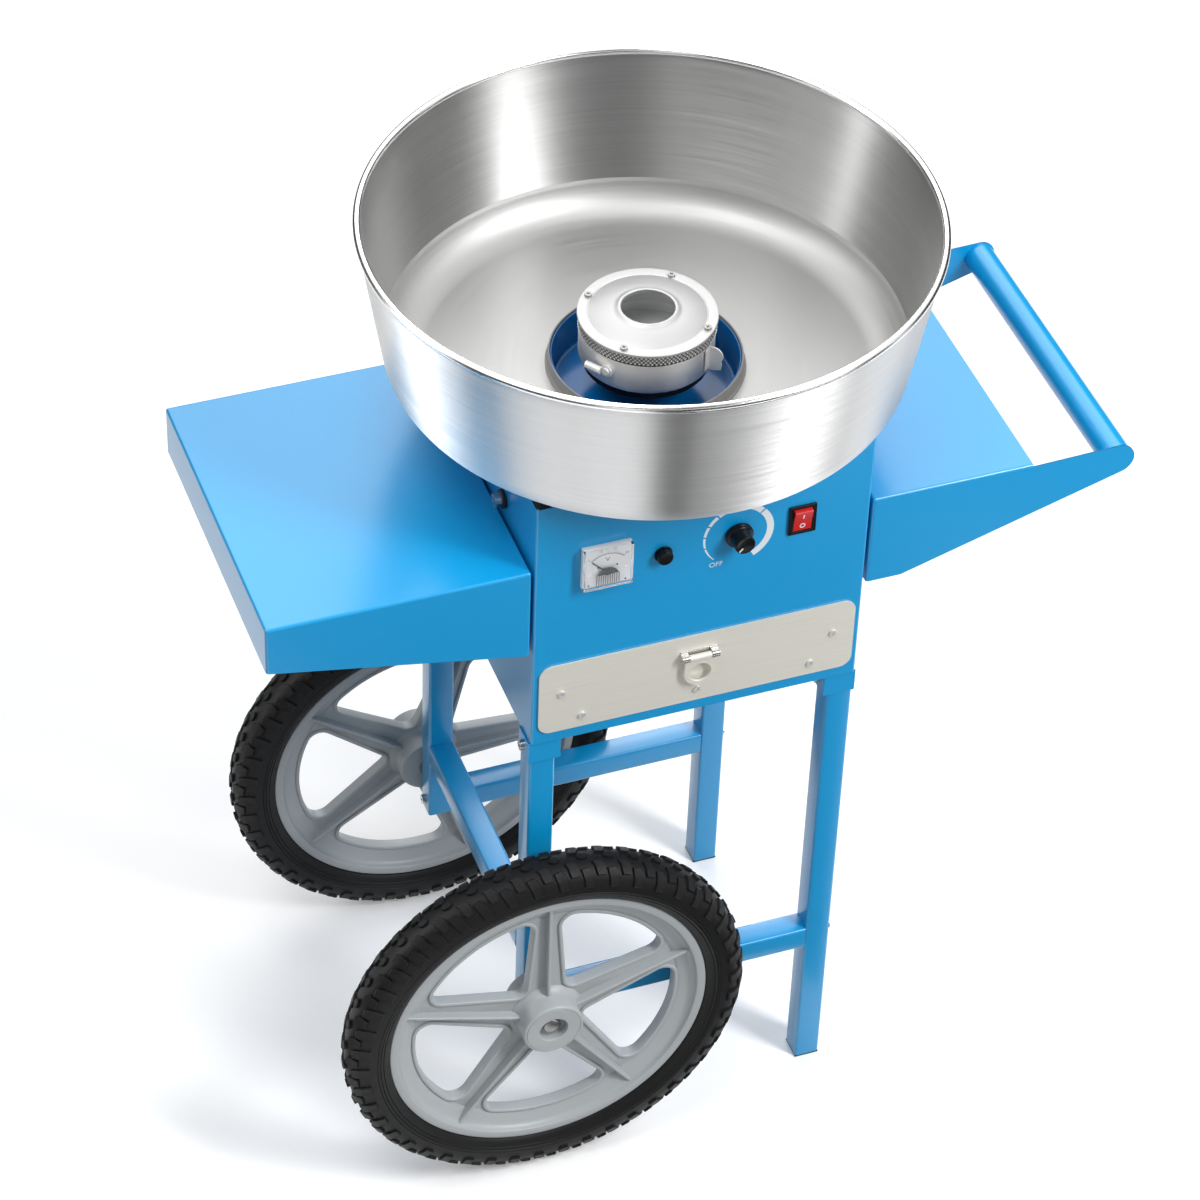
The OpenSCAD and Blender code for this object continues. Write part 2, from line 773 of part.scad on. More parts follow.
// Bolts that hold the shelves, and the two above each shelf
module shelf_bolts() {
    low_x = shelf_root + sheet;
    high_x = cab_x + side_washer_t;
    color(bright) on_axis() both_sides() front_and_back() {
        rod_x(cab_x - sheet - bolt_bite, low_x + 1, shelf_bolt_y, shelf_z - shelf_bolt_drop, bolt_r);
        rod_x(low_x, low_x + bolt_head_h, shelf_bolt_y, shelf_z - shelf_bolt_drop, bolt_head_r);
        rod_x(cab_x - sheet - bolt_bite, high_x + 1, side_bolt_y, shelf_z + side_bolt_rise, bolt_r);
        rod_x(high_x, high_x + side_bolt_head_h, side_bolt_y, shelf_z + side_bolt_rise, side_bolt_head_r);
    }
}

module washer_x(x0, x1, y, z, r) {
    difference() {
        rod_x(x0, x1, y, z, r);
        rod_x(x0 - overcut, x1 + overcut, y, z, bolt_r + fit_gap);
    }
}

module shelf_washers() {
    color(black) on_axis() both_sides() front_and_back() {
        washer_x(cab_x, shelf_root, shelf_bolt_y, shelf_z - shelf_bolt_drop, shelf_washer_r);
        washer_x(cab_x, cab_x + side_washer_t, side_bolt_y, shelf_z + side_bolt_rise, side_washer_r);
    }
}

// Square-tube legs. The left pair ends at the braces and carries the axles
module leg(foot_z, with_axle) {
    difference() {
        box([leg_out_x - leg_w, -leg_face_y, foot_z], [leg_out_x, -leg_face_y + leg_w, leg_h]);
        box([leg_out_x - leg_w + tube_wall, -leg_face_y + tube_wall, foot_z - overcut],
            [leg_out_x - tube_wall, -leg_face_y + leg_w - tube_wall, leg_h + overcut]);
        for (z = [leg_bolt_z, brace_bolt_z]) {
            rod_x(leg_out_x - leg_w - overcut, leg_out_x + overcut, -leg_mid_y, z, bolt_r + fit_gap);
        }
        if (with_axle) {
            rod_y(-leg_face_y - overcut, -leg_face_y + leg_w + overcut, wheel_x, wheel_z, axle_r + fit_gap);
        }
    }
}

module front_left_leg() { color(blue) on_axis() mirror([1, 0, 0]) leg(brace_z, true); }

module rear_left_leg() { color(blue) on_axis() mirror([1, 0, 0]) mirror([0, 1, 0]) leg(brace_z, true); }

module front_right_leg() { color(blue) on_axis() leg(foot_t, false); }

module rear_right_leg() { color(blue) on_axis() mirror([0, 1, 0]) leg(foot_t, false); }

// A socket is a three-sided sleeve under the cabinet, open towards its middle
module leg_sockets() {
    out_x = leg_out_x + socket_t;
    in_x = leg_out_x - leg_w - socket_room;
    y0 = -leg_face_y - socket_t;
    y1 = -leg_face_y + leg_w;
    z0 = leg_h - socket_h;
    color(blue) on_axis() both_sides() front_and_back() difference() {
        union() {
            box([in_x - socket_t, y0, z0], [out_x, y0 + socket_t, leg_h]);
            box([leg_out_x, y0, z0], [out_x, y1, leg_h]);
            box([in_x - socket_t, y0, z0], [in_x, y1, leg_h]);
        }
        rod_x(in_x - socket_t - overcut, out_x + overcut, -leg_mid_y, leg_bolt_z, bolt_r + fit_gap);
    }
}

module leg_bolts() {
    socket_x = leg_out_x + socket_t;
    tail_x = leg_out_x - leg_w - socket_room - socket_t;
    brace_x = leg_out_x - leg_w - tube_end - bolt_bite;
    color(bright) on_axis() both_sides() front_and_back() {
        rod_x(tail_x - bolt_head_h, socket_x + 1, leg_mid_y, leg_bolt_z, bolt_r);
        rod_x(socket_x, socket_x + bolt_head_h, leg_mid_y, leg_bolt_z, bolt_head_r);
        rod_x(tail_x - bolt_head_h, tail_x, leg_mid_y, leg_bolt_z, bolt_head_r);
        rod_x(brace_x, leg_out_x + 1, leg_mid_y, brace_bolt_z, bolt_r);
        rod_x(leg_out_x, leg_out_x + bolt_head_h, leg_mid_y, brace_bolt_z, bolt_head_r);
    }
}

module foot_plugs() {
    plug_w = leg_w - 2 * tube_wall - 2 * fit_gap;
    color(black) on_axis() front_and_back() {
        translate([leg_mid_x - leg_w / 2, -leg_mid_y - leg_w / 2, 0]) cube([leg_w, leg_w, foot_t]);
        translate([leg_mid_x - plug_w / 2, -leg_mid_y - plug_w / 2, 0])
            cube([plug_w, plug_w, foot_t + foot_plug_h]);
    }
}

// Braces and beam are closed tubes with an end plate
module brace() {
    half = leg_out_x - leg_w;
    y0 = -leg_face_y;
    color(blue) on_axis() difference() {
        box([-half, y0, brace_z], [half, y0 + leg_w, brace_z + leg_w]);
        box([-half + tube_end, y0 + tube_wall, brace_z + tube_wall],
            [half - tube_end, y0 + leg_w - tube_wall, brace_z + leg_w - tube_wall]);
        rod_x(-half - overcut, half + overcut, -leg_mid_y, brace_bolt_z, bolt_r + fit_gap);
    }
}

module front_brace() { brace(); }

module rear_brace() { mirror([0, 1, 0]) brace(); }

module axle_beam() {
    half = leg_face_y - leg_w;
    x0 = -leg_out_x;
    color(blue) on_axis() difference() {
        box([x0, -half, beam_z], [x0 + leg_w, half, beam_z + leg_w]);
        box([x0 + tube_wall, -half + tube_end, beam_z + tube_wall],
            [x0 + leg_w - tube_wall, half - tube_end, beam_z + leg_w - tube_wall]);
    }
}

module stub_axles() {
    cap_y = hub_start_y + hub_in + hub_out - hub_recess + slide_gap;
    color(bright) on_axis() front_and_back() {
        rod_y(-cap_y - 1, -leg_face_y + leg_w, -wheel_x, wheel_z, axle_r);
        rod_y(-cap_y - axle_cap_h, -cap_y, -wheel_x, wheel_z, axle_cap_r);
        rod_y(-hub_start_y + slide_gap, -leg_face_y, -wheel_x, wheel_z, axle_collar_r);
    }
}

// Wheel, drawn around Z with its outer side up and one spoke along +Y.
// A window lies beside that spoke, and grow widens it on all sides
function window_outline(grow) = let (
    half = spoke_step / 2,
    mid = 90 - half,
    tip_need = sin(half) + spoke_fall * cos(half),
    tip_ring = (window_tip * spoke_slope + spoke_half_0) / tip_need,
    a = 90 - corner_turn,
    b = 2 * mid - a,
    near = 180 + spoke_lean,
    far = 2 * mid - near
) concat(
    arc(corner_ring * [cos(a), sin(a)], window_corner + grow, near, a, window_steps),
    arc([0, 0], window_r + grow, a, b, 2 * window_steps),
    arc(corner_ring * [cos(b), sin(b)], window_corner + grow, b, far, window_steps),
    arc(tip_ring * [cos(mid), sin(mid)], window_tip + grow, far, near - 360, window_steps)
);

module windows(grow, h) {
    for (k = [0:spoke_count - 1]) {
        rotate(k * spoke_step) translate([0, 0, -h / 2]) linear_extrude(h)
            polygon(window_outline(grow));
    }
}

module wheel() {
    ring_in = rim_r - rim_ring;
    step_in = ring_in - 3;
    step_h = rim_w / 2 - 7;
    web_out = window_r + 2;
    hub_foot_r = hub_r + 6;
    difference() {
        union() {
            rotate_extrude() polygon([
                [rim_r, -rim_w / 2], [rim_r, rim_w / 2], [ring_in, rim_w / 2], [step_in, step_h],
                [web_out, web_t / 2], [web_out, -web_t / 2], [step_in, -step_h], [ring_in, -rim_w / 2]
            ]);
            translate([0, 0, -web_t / 2]) cylinder(h = web_t, r = web_out + 1);
            windows(lip_w, web_t + 2 * lip_h);
            for (k = [0:spoke_count - 1]) {
                rotate(k * spoke_step) translate([-rib_t / 2, hub_r - 4, -rib_h / 2])
                    cube([rib_t, step_in - hub_r + 4 + 1, rib_h]);
            }
            translate([0, 0, -hub_in]) cylinder(h = hub_in + hub_out, r = hub_r);
            rotate_extrude() polygon([
                [0, -web_t / 2 - 8], [hub_r, -web_t / 2 - 8], [hub_foot_r, -web_t / 2],
                [hub_foot_r, web_t / 2], [hub_r, web_t / 2 + 8], [0, web_t / 2 + 8]
            ]);
        }
        windows(0, rim_w);
        translate([0, 0, -hub_in - overcut])
            cylinder(h = hub_in + hub_out + 2 * overcut, r = axle_r + run_gap);
        translate([0, 0, hub_out - hub_recess]) cylinder(h = hub_recess + overcut, r = hub_recess_r);
    }
}

module tyre() {
    bead_x = rim_w / 2;
    half = tyre_w / 2;
    seat_r = rim_r + fit_gap;
    height = wheel_r - seat_r;
    right = [
        [seat_r, bead_x], [seat_r + 0.07 * height, half - 4], [seat_r + 0.3 * height, half - 0.8],
        [seat_r + 0.6 * height, half], [seat_r + 0.82 * height, half - 1.5],
        [seat_r + 0.95 * height, half - 9], [wheel_r, 5]
    ];
    left = [for (i = [len(right) - 1:-1:0]) [right[i][0], -right[i][1]]];
    rotate_extrude($fn = 144) polygon(concat(right, left));
}

module place_front_wheel() {
    on_axis() translate([-wheel_x, -wheel_y, wheel_z]) rotate([90, 0, 0]) children();
}

module front_wheel() { color(grey) place_front_wheel() wheel(); }

module front_tyre() { color(black) place_front_wheel() tyre(); }

module rear_wheel() {
    color(grey) mirror([0, 1, 0]) place_front_wheel() rotate(-rear_wheel_turn) wheel();
}

module rear_tyre() { color(black) mirror([0, 1, 0]) place_front_wheel() tyre(); }

// Drawer, its runners and its ring pull
module drawer_runners() {
    x0 = drawer_x - runner_w / 2;
    x1 = cab_x - sheet;
    z0 = drawer_z0 - slide_gap - sheet;
    y1 = cab_y - sheet;
    color(steel) on_axis() both_sides() {
        box([x0, -y1, z0], [x1, y1, z0 + sheet]);
        box([x1 - sheet, -y1, z0], [x1, y1, z0 + runner_h]);
    }
}

module drawer_box() {
    color(steel) on_axis() difference() {
        box([-drawer_x, -front_back_y, drawer_z0], [drawer_x, drawer_back_y, drawer_z1]);
        box([-drawer_x + drawer_sheet, -front_back_y + drawer_sheet, drawer_z0 + drawer_sheet],
            [drawer_x - drawer_sheet, drawer_back_y - drawer_sheet, drawer_z1 + overcut]);
        drawer_screw_places() drawer_screw_hole();
    }
}

module drawer_screw_places() {
    for (p = [[-screw_side_x, screw_side_z], [screw_side_x, screw_side_z], [-screw_low_x, screw_low_z],
              [screw_low_x, screw_low_z], [0, screw_low_z]]) {
        translate([p[0], -front_face_y, p[1]]) rotate([-90, 0, 0]) children();
    }
}

module drawer_screw_hole() {
    translate([0, 0, -overcut]) cylinder(h = sheet + drawer_sheet + 2 * overcut, r = screw_r + fit_gap);
}

module drawer_front() {
    x1 = front_w / 2 - front_corner;
    z0 = front_z + front_corner;
    z1 = front_z + front_h - front_corner;
    color(steel) on_axis() difference() {
        slab_y(-front_face_y, -front_back_y) union() {
            translate([-x1, front_z]) square([2 * x1, front_h]);
            translate([-front_w / 2, z0]) square([front_w, z1 - z0]);
            for (x = [-x1, x1], z = [z0, z1]) {
                translate([x, z]) circle(r = front_corner);
            }
        }
        drawer_screw_places() drawer_screw_hole();
    }
}

module drawer_screws() {
    color(bright) on_axis() drawer_screw_places() {
        translate([0, 0, -screw_head_h]) cylinder(h = screw_head_h, r = screw_head_r);
        cylinder(h = sheet + drawer_sheet + 2, r = screw_r);
    }
}

module pull_bracket() {
    half = pull_w / 2 + 1;
    back_y = -front_face_y;
    color(bright) on_axis() {
        box([-half, back_y - pull_base_t, pull_z - 6], [half, back_y, pull_z + 6]);
        both_sides() {
            rod_x(half - knuckle_w, half, -pull_y, pull_z, knuckle_r);
            box([half - knuckle_w, -pull_y, pull_z - knuckle_r], [half, back_y, pull_z + knuckle_r]);
        }
        rod_x(-half, half, -pull_y, pull_z, pull_pin_r);
    }
}

module pull_ring() {
    round_r = pull_hole_r + pull_rim;
    round_z = pull_z - pull_hole_drop;
    neck_top = pull_z - knuckle_r - 2 * slide_gap;
    color(bright) on_axis() difference() {
        union() {
            rod_x(-barrel_x, barrel_x, -pull_y, pull_z, pull_barrel_r);
            slab_y(-pull_y - pull_t / 2, -pull_y + pull_t / 2) union() {
                translate([-barrel_x, round_z]) square([2 * barrel_x, pull_z - round_z]);
                translate([-round_r, round_z]) square([2 * round_r, neck_top - round_z]);
                translate([0, round_z]) circle(r = round_r);
            }
        }
        rod_x(-barrel_x - overcut, barrel_x + overcut, -pull_y, pull_z, pull_pin_r + run_gap);
        rod_y(-pull_y - pull_t, -pull_y + pull_t, 0, round_z, pull_hole_r);
    }
}

// Voltmeter
module meter_case() {
    color(bright) on_axis() translate([-meter_x, -cab_y, meter_z]) {
        box([-meter_w / 2, -meter_base_t, -meter_h / 2], [meter_w / 2, 0, meter_h / 2]);
        rod_y(-1, meter_can_len, 0, 0, meter_can_r);
    }
}

module meter_dial() {
    half_w = meter_w / 2 - meter_cover_wall - fit_gap;
    half_h = meter_h / 2 - meter_cover_wall - fit_gap;
    color(bright) on_axis() translate([-meter_x, -cab_y - meter_base_t, meter_z])
        box([-half_w, -dial_t, -half_h], [half_w, 0, half_h]);
}

module meter_needle() {
    needle_y = -cab_y - meter_base_t - dial_t - slide_gap;
    color(black) on_axis() translate([-meter_x, needle_y, meter_z - needle_pivot_drop]) {
        rod_y(-1.6, 0, 0, 0, needle_hub_r);
        rotate([0, needle_turn, 0]) box([-0.5, -1.2, 0], [0.5, -1.2 + needle_t, needle_len]);
    }
}

module meter_window() {
    in_x = meter_w / 2 - meter_cover_wall;
    in_z = meter_h / 2 - meter_cover_wall;
    color(glass) on_axis() translate([-meter_x, -cab_y - meter_base_t, meter_z]) difference() {
        box([-meter_w / 2, -meter_cover_t, -meter_h / 2], [meter_w / 2, 0, meter_h / 2]);
        box([-in_x, -meter_cover_t + meter_cover_wall, -in_z], [in_x, overcut, in_z]);
    }
}

// Fuse holder with its draw-out cap
module fuse_holder() {
    color(black) on_axis() difference() {
        union() {
            rod_y(-cab_y - fuse_flange_t, -cab_y, -fuse_x, fuse_z, fuse_r);
            rod_y(-cab_y - 1, -cab_y + fuse_body_len, -fuse_x, fuse_z, fuse_body_r);
        }
        rod_y(-cab_y - fuse_flange_t - overcut, -cab_y + fuse_stem_len, -fuse_x, fuse_z,
            fuse_stem_r + run_gap);
    }
}

module fuse_cap() {
    cap_y = cab_y + fuse_flange_t + slide_gap;
    color(black) on_axis() {
        rod_y(-cap_y - fuse_cap_h, -cap_y, -fuse_x, fuse_z, fuse_cap_r);
        rod_y(-cap_y - 1, -cab_y + fuse_stem_len - 2, -fuse_x, fuse_z, fuse_stem_r);
    }
}

// Heat regulator and its knob
module regulator() {
    half = regulator_side / 2;
    color(black) on_axis() difference() {
        translate([knob_x, -cab_y + sheet, line_z])
            box([-half, 0, -half], [half, regulator_depth, half]);
        rod_y(-cab_y, -cab_y + sheet + knob_shaft_len + 1, knob_x, line_z, knob_shaft_r + run_gap);
    }
}

module heat_knob() {
    skirt_y = cab_y + 2 * slide_gap;
    color(black) on_axis() {
        rod_y(-skirt_y - knob_skirt_h, -skirt_y, knob_x, line_z, knob_r);
        rod_y(-cab_y - knob_h, -skirt_y - knob_skirt_h + 1, knob_x, line_z, knob_cap_r);
        rod_y(-skirt_y - 1, -cab_y + sheet + knob_shaft_len, knob_x, line_z, knob_shaft_r);
        translate([knob_x, -cab_y - knob_h, line_z]) rotate([0, -knob_off_angle, 0])
            box([0, -0.6, -pointer_w / 2], [knob_cap_r, 1, pointer_w / 2]);
    }
}

// Rocker switch
module switch_housing() {
    body_x = switch_w / 2 - switch_body_inset;
    body_z = switch_h / 2 - switch_body_inset;
    hole_x = switch_w / 2 - bezel_rim;
    hole_z = switch_h / 2 - bezel_end;
    color(black) on_axis() translate([switch_x, -cab_y, switch_z]) difference() {
        union() {
            box([-switch_w / 2, -bezel_t, -switch_h / 2], [switch_w / 2, 0, switch_h / 2]);
            box([-body_x, -1, -body_z], [body_x, switch_body_depth, body_z]);
        }
        box([-hole_x, -bezel_t - overcut, -hole_z], [hole_x, recess_depth, hole_z]);
    }
}

module switch_rocker() {
    front_turn = asin(rocker_rise / rocker_r);
    back_turn = 10;
    color(red) on_axis() translate([switch_x, -rocker_pivot_y, switch_z]) rotate([rocker_tilt, 0, 0])
        slab_x(-rocker_w / 2, rocker_w / 2) polygon(concat(
            arc([0, 0], rocker_r, 270 + back_turn, 270 - front_turn, 8),
            [[-rocker_rise + 1, 0]],
            arc([0, 0], rocker_r, 90 + front_turn, 90 - back_turn, 8)
        ));
}

// Gland on the back for the mains cord
module cord_gland() {
    y0 = cab_y - sheet - gland_tail;
    y1 = cab_y + gland_flange_t + gland_nose;
    color(black) on_axis() difference() {
        union() {
            rod_y(y0, y1, gland_x, gland_z, gland_stem_r);
            rod_y(cab_y, cab_y + gland_flange_t, gland_x, gland_z, gland_r);
        }
        rod_y(y0 - overcut, y1 + overcut, gland_x, gland_z, gland_bore_r);
    }
}

base_plate();
left_side_panel();
right_side_panel();
back_panel();
front_panel();
top_plate();
bowl_mat();
well_cup();
motor_bracket();
motor_can();
stator();
rotor_shaft();
slip_sleeve();
slip_rings();
brush_holder();
head_base();
heater_ring();
head_band();
head_lid();
head_screws();
head_terminals();
bowl();
bowl_seal();
left_shelf();
right_shelf();
handle_tube();
shelf_bolts();
shelf_washers();
front_left_leg();
rear_left_leg();
front_right_leg();
rear_right_leg();
leg_sockets();
leg_bolts();
foot_plugs();
front_brace();
rear_brace();
axle_beam();
stub_axles();
front_wheel();
front_tyre();
rear_wheel();
rear_tyre();
drawer_runners();
drawer_box();
drawer_front();
drawer_screws();
pull_bracket();
pull_ring();
meter_case();
meter_dial();
meter_needle();
meter_window();
fuse_holder();
fuse_cap();
regulator();
heat_knob();
switch_housing();
switch_rocker();
cord_gland();
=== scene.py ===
# %% [markdown]
# # A cotton candy cart
# The solids of this cart come from a CAD model and are loaded as a fixed frame. This lesson dresses
# them: it sets up a camera and a soft studio, makes the finishes from shader nodes, and models the
# pieces whose rounded edges, tread or printing the plain solids leave out.
# Everything is written in millimetres around the axis of the bowl and turned into metres at the end.

# %% Load the frame
import json
import math

import bmesh
import bpy
from mathutils import Matrix, Vector


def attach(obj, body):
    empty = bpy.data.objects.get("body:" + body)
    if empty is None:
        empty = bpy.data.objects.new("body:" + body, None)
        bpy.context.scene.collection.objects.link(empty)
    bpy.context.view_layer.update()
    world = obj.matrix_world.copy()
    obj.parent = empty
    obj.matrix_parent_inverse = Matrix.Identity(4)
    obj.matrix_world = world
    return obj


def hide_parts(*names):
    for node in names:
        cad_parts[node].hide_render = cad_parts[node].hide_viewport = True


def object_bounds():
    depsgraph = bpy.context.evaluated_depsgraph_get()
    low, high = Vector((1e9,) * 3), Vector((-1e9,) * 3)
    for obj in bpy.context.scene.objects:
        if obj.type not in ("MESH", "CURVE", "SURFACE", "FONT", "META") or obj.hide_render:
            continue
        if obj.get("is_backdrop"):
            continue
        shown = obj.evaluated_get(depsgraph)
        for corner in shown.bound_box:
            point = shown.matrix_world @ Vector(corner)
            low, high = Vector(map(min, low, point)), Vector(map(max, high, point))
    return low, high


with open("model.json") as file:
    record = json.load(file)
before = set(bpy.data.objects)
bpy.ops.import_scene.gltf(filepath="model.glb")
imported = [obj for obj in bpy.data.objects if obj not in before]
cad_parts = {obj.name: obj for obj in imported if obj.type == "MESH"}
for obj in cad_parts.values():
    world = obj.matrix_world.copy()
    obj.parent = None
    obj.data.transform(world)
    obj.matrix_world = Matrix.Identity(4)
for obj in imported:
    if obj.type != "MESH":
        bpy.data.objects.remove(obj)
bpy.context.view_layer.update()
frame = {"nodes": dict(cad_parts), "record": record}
AXIS_X = -8.0
BODY_OF = {node: body for body, nodes in frame["record"]["behaviour"]["bodies"].items() for node in nodes}
SLOT_OF = {part["node"]: part["material_slot"] for part in frame["record"]["subparts"]}


def linked(name, data):
    """A new object in the scene."""
    thing = bpy.data.objects.new(name, data)
    bpy.context.collection.objects.link(thing)
    return thing


def mesh_of(name, points, faces):
    mesh = bpy.data.meshes.new(name)
    mesh.from_pydata(points, [], faces)
    return mesh

# %% [markdown]
# ## Camera
# The photograph was taken from the front left and from well above, with a long lens and the camera
# rolled by about two degrees. A constraint could aim the camera, but it leaves no room for the roll,
# so the camera is placed by its position and the three directions of its view.

# %% Camera
CAMERA_AT = Vector((-1.1384, -2.7979, 3.2474))
CAMERA_LOOKS = Vector((0.2705, 0.6906, -0.6707)).normalized()
CAMERA_ROLL = math.radians(2.27)

camera_data = bpy.data.cameras.new("studio_camera")
camera_data.lens = 130.3
camera_data.sensor_width = 36.0
camera_data.clip_end = 50.0
camera = linked("studio_camera", camera_data)
level_right = CAMERA_LOOKS.cross(Vector((0, 0, 1))).normalized()
level_up = level_right.cross(CAMERA_LOOKS)
right = level_right * math.cos(CAMERA_ROLL) + level_up * math.sin(CAMERA_ROLL)
up = level_up * math.cos(CAMERA_ROLL) - level_right * math.sin(CAMERA_ROLL)
turn = Matrix((right, up, -CAMERA_LOOKS)).transposed().to_4x4()
camera.matrix_world = Matrix.Translation(CAMERA_AT) @ turn
bpy.context.scene.camera = camera
bpy.context.scene.view_settings.view_transform = "Standard"
print("camera at", [round(v, 3) for v in CAMERA_AT])

# %% [markdown]
# ## Studio
# Product photographs of steel use large soft boxes, because steel shows little but what it mirrors.
# The world gives a gentle fill, and to the camera and to mirror rays it is plain white.
# The lamps are big area lights, so the shadow on the pale floor stays soft. The narrow strip on the left
# is there only to be mirrored. Dark cards stand round the set, flags lie on the floor and a roof card
# hangs above. Only mirror rays see them, and they give the steel its dark bands.

# %% Node helpers
def feed(tree, socket, value):
    """Sets a socket to a number, or links it to another socket."""
    if isinstance(value, (int, float)):
        socket.default_value = value
    else:
        tree.links.new(value, socket)


def preset(node, **values):
    """Sets sockets by their labels, with an underscore for each space."""
    for label, value in values.items():
        node.inputs[label.replace("_", " ")].default_value = value
    return node


def arithmetic(tree, operation, a, b):
    node = tree.nodes.new("ShaderNodeMath")
    node.operation = operation
    for socket, value in zip(node.inputs, (a, b)):
        feed(tree, socket, value)
    return node.outputs[0]


def either(tree, choice, first, second):
    """The first of two shaders, or the second one where choice is 1."""
    node = tree.nodes.new("ShaderNodeMixShader")
    for socket, source in zip(node.inputs, (choice, first, second)):
        tree.links.new(source, socket)
    return node.outputs[0]

# %% World
FILL = ((0.93, 0.96, 1.0, 1), 0.38)
WHITE = ((1, 1, 1, 1), 1.0)
world = bpy.data.worlds.new("studio_world")
bpy.context.scene.world = world
world.use_nodes = True
tree = world.node_tree
tree.nodes.clear()
lights = []
for colour, strength in (FILL, WHITE):
    light = preset(tree.nodes.new("ShaderNodeBackground"), Color=colour, Strength=strength)
    lights.append(light.outputs[0])
ray = tree.nodes.new("ShaderNodeLightPath").outputs
mirrored = arithmetic(tree, "MAXIMUM", ray["Is Glossy Ray"], ray["Is Transmission Ray"])
seen = arithmetic(tree, "MAXIMUM", ray["Is Camera Ray"], mirrored)
out = tree.nodes.new("ShaderNodeOutputWorld")
tree.links.new(either(tree, seen, *lights), out.inputs[0])
print("world fill", FILL[1])

# %% Soft boxes
# Name, place, target, width, height and watts
LAMPS = [
    ("key_box", (1.5, -1.88, 2.6), (0.0, 0.0, 0.7), 0.65, 1.8, 85),
    ("left_strip", (-2.3, 0.68, 1.5), (0.0, 0.0, 0.8), 0.3, 2.0, 30),
    ("left_top_box", (-1.0, -0.4, 3.0), (-0.2, 0.0, 0.7), 1.4, 1.4, 32),
    ("top_box", (0.55, 1.9, 2.75), (0.0, 0.0, 0.7), 3.0, 2.0, 34),
    ("back_strip", (0.9, 2.4, 1.4), (0.0, 0.0, 0.7), 0.4, 1.8, 12),
]
for name, at, target, width, height, watts in LAMPS:
    lamp = bpy.data.lights.new(name, "AREA")
    lamp.shape = "RECTANGLE"
    lamp.size = width
    lamp.size_y = height
    lamp.energy = watts
    lamp_object = linked(name, lamp)
    aim = (Vector(target) - Vector(at)).to_track_quat("-Z", "Y")
    lamp_object.matrix_world = Matrix.Translation(at) @ aim.to_matrix().to_4x4()
    lamp_object.visible_diffuse = name != "left_strip"
print("lamps:", len(LAMPS))

# %% Floor and dark cards
floor_mesh = mesh_of("studio_floor", [(-9, -9, 0), (9, -9, 0), (9, 9, 0), (-9, 9, 0)], [(0, 1, 2, 3)])
floor = linked("studio_floor", floor_mesh)
floor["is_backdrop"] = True

# A card runs between two angles in degrees, and between two places of (radius, height) in metres
CARD_STEPS = 12
UPRIGHT = ((3.3, 0.02), (3.3, 2.6))
FLAT = ((0.48, 0.004), (3.3, 0.004))
NEAR_FLAT = ((0.3, 0.006), (1.25, 0.006))
FAR_FLAT = ((0.95, 0.008), (1.8, 0.008))
ROOF = ((0.5, 3.5), (3.3, 3.5))
CARDS = [
    ("left_card", 179, 234, UPRIGHT),
    ("camera_card", 249, 300, UPRIGHT),
    ("right_card", 322, 340, UPRIGHT),
    ("far_right_card", 348, 425, UPRIGHT),
    ("back_card", 80, 148, UPRIGHT),
    ("left_flag", 180, 195, FLAT),
    ("middle_flag", 252, 266, FLAT),
    ("front_flag", 262, 310, NEAR_FLAT),
    ("right_flag", 322, 334, FLAT),
    ("side_flag", 298, 320, FAR_FLAT),
    ("roof_card", 200, 320, ROOF),
]
card_meshes = []
for name, start, end, rows in CARDS:
    turns = [math.radians(start + (end - start) * i / CARD_STEPS) for i in range(CARD_STEPS + 1)]
    points = [(r * math.cos(a), r * math.sin(a), z) for r, z in rows for a in turns]
    faces = [(i, i + 1, CARD_STEPS + 2 + i, CARD_STEPS + 1 + i) for i in range(CARD_STEPS)]
    card_meshes.append(mesh_of(name, points, faces))
    card = linked(name, card_meshes[-1])
    card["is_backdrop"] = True
    card.visible_camera = card.visible_diffuse = False
    card.visible_shadow = card.visible_transmission = False
print("cards:", len(CARDS))

# %% [markdown]
# ## Shader groups
# Powder coat, moulded plastic and rubber all have a fine grain. Brushed and turned metal have lines.
# Each finish could hold its own noise. Here each effect is built once as a node group and placed in
# every finish that shows it, so that a change to the grain reaches all of them.

# %% Group: surface grain
def new_group(name, inputs, outputs):
    group = bpy.data.node_groups.new(name, "ShaderNodeTree")
    for label, value in inputs:
        socket = group.interface.new_socket(label, in_out="INPUT", socket_type="NodeSocketFloat")
        socket.default_value = value
    for label in outputs:
        group.interface.new_socket(label, in_out="OUTPUT", socket_type="NodeSocketFloat")
    return group, group.nodes.new("NodeGroupInput"), group.nodes.new("NodeGroupOutput")


def spread(tree, value, low, high):
    """Maps 0..1 to the range low..high, which are sockets or numbers."""
    node = tree.nodes.new("ShaderNodeMapRange")
    tree.links.new(value, node.inputs["Value"])
    for socket, bound in ((node.inputs["To Min"], low), (node.inputs["To Max"], high)):
        feed(tree, socket, bound)
    return node.outputs["Result"]


def noise(tree, where, scale, detail):
    node = preset(tree.nodes.new("ShaderNodeTexNoise"), Detail=detail)
    feed(tree, node.inputs["Scale"], scale)
    tree.links.new(where, node.inputs["Vector"])
    return node.outputs["Fac"]


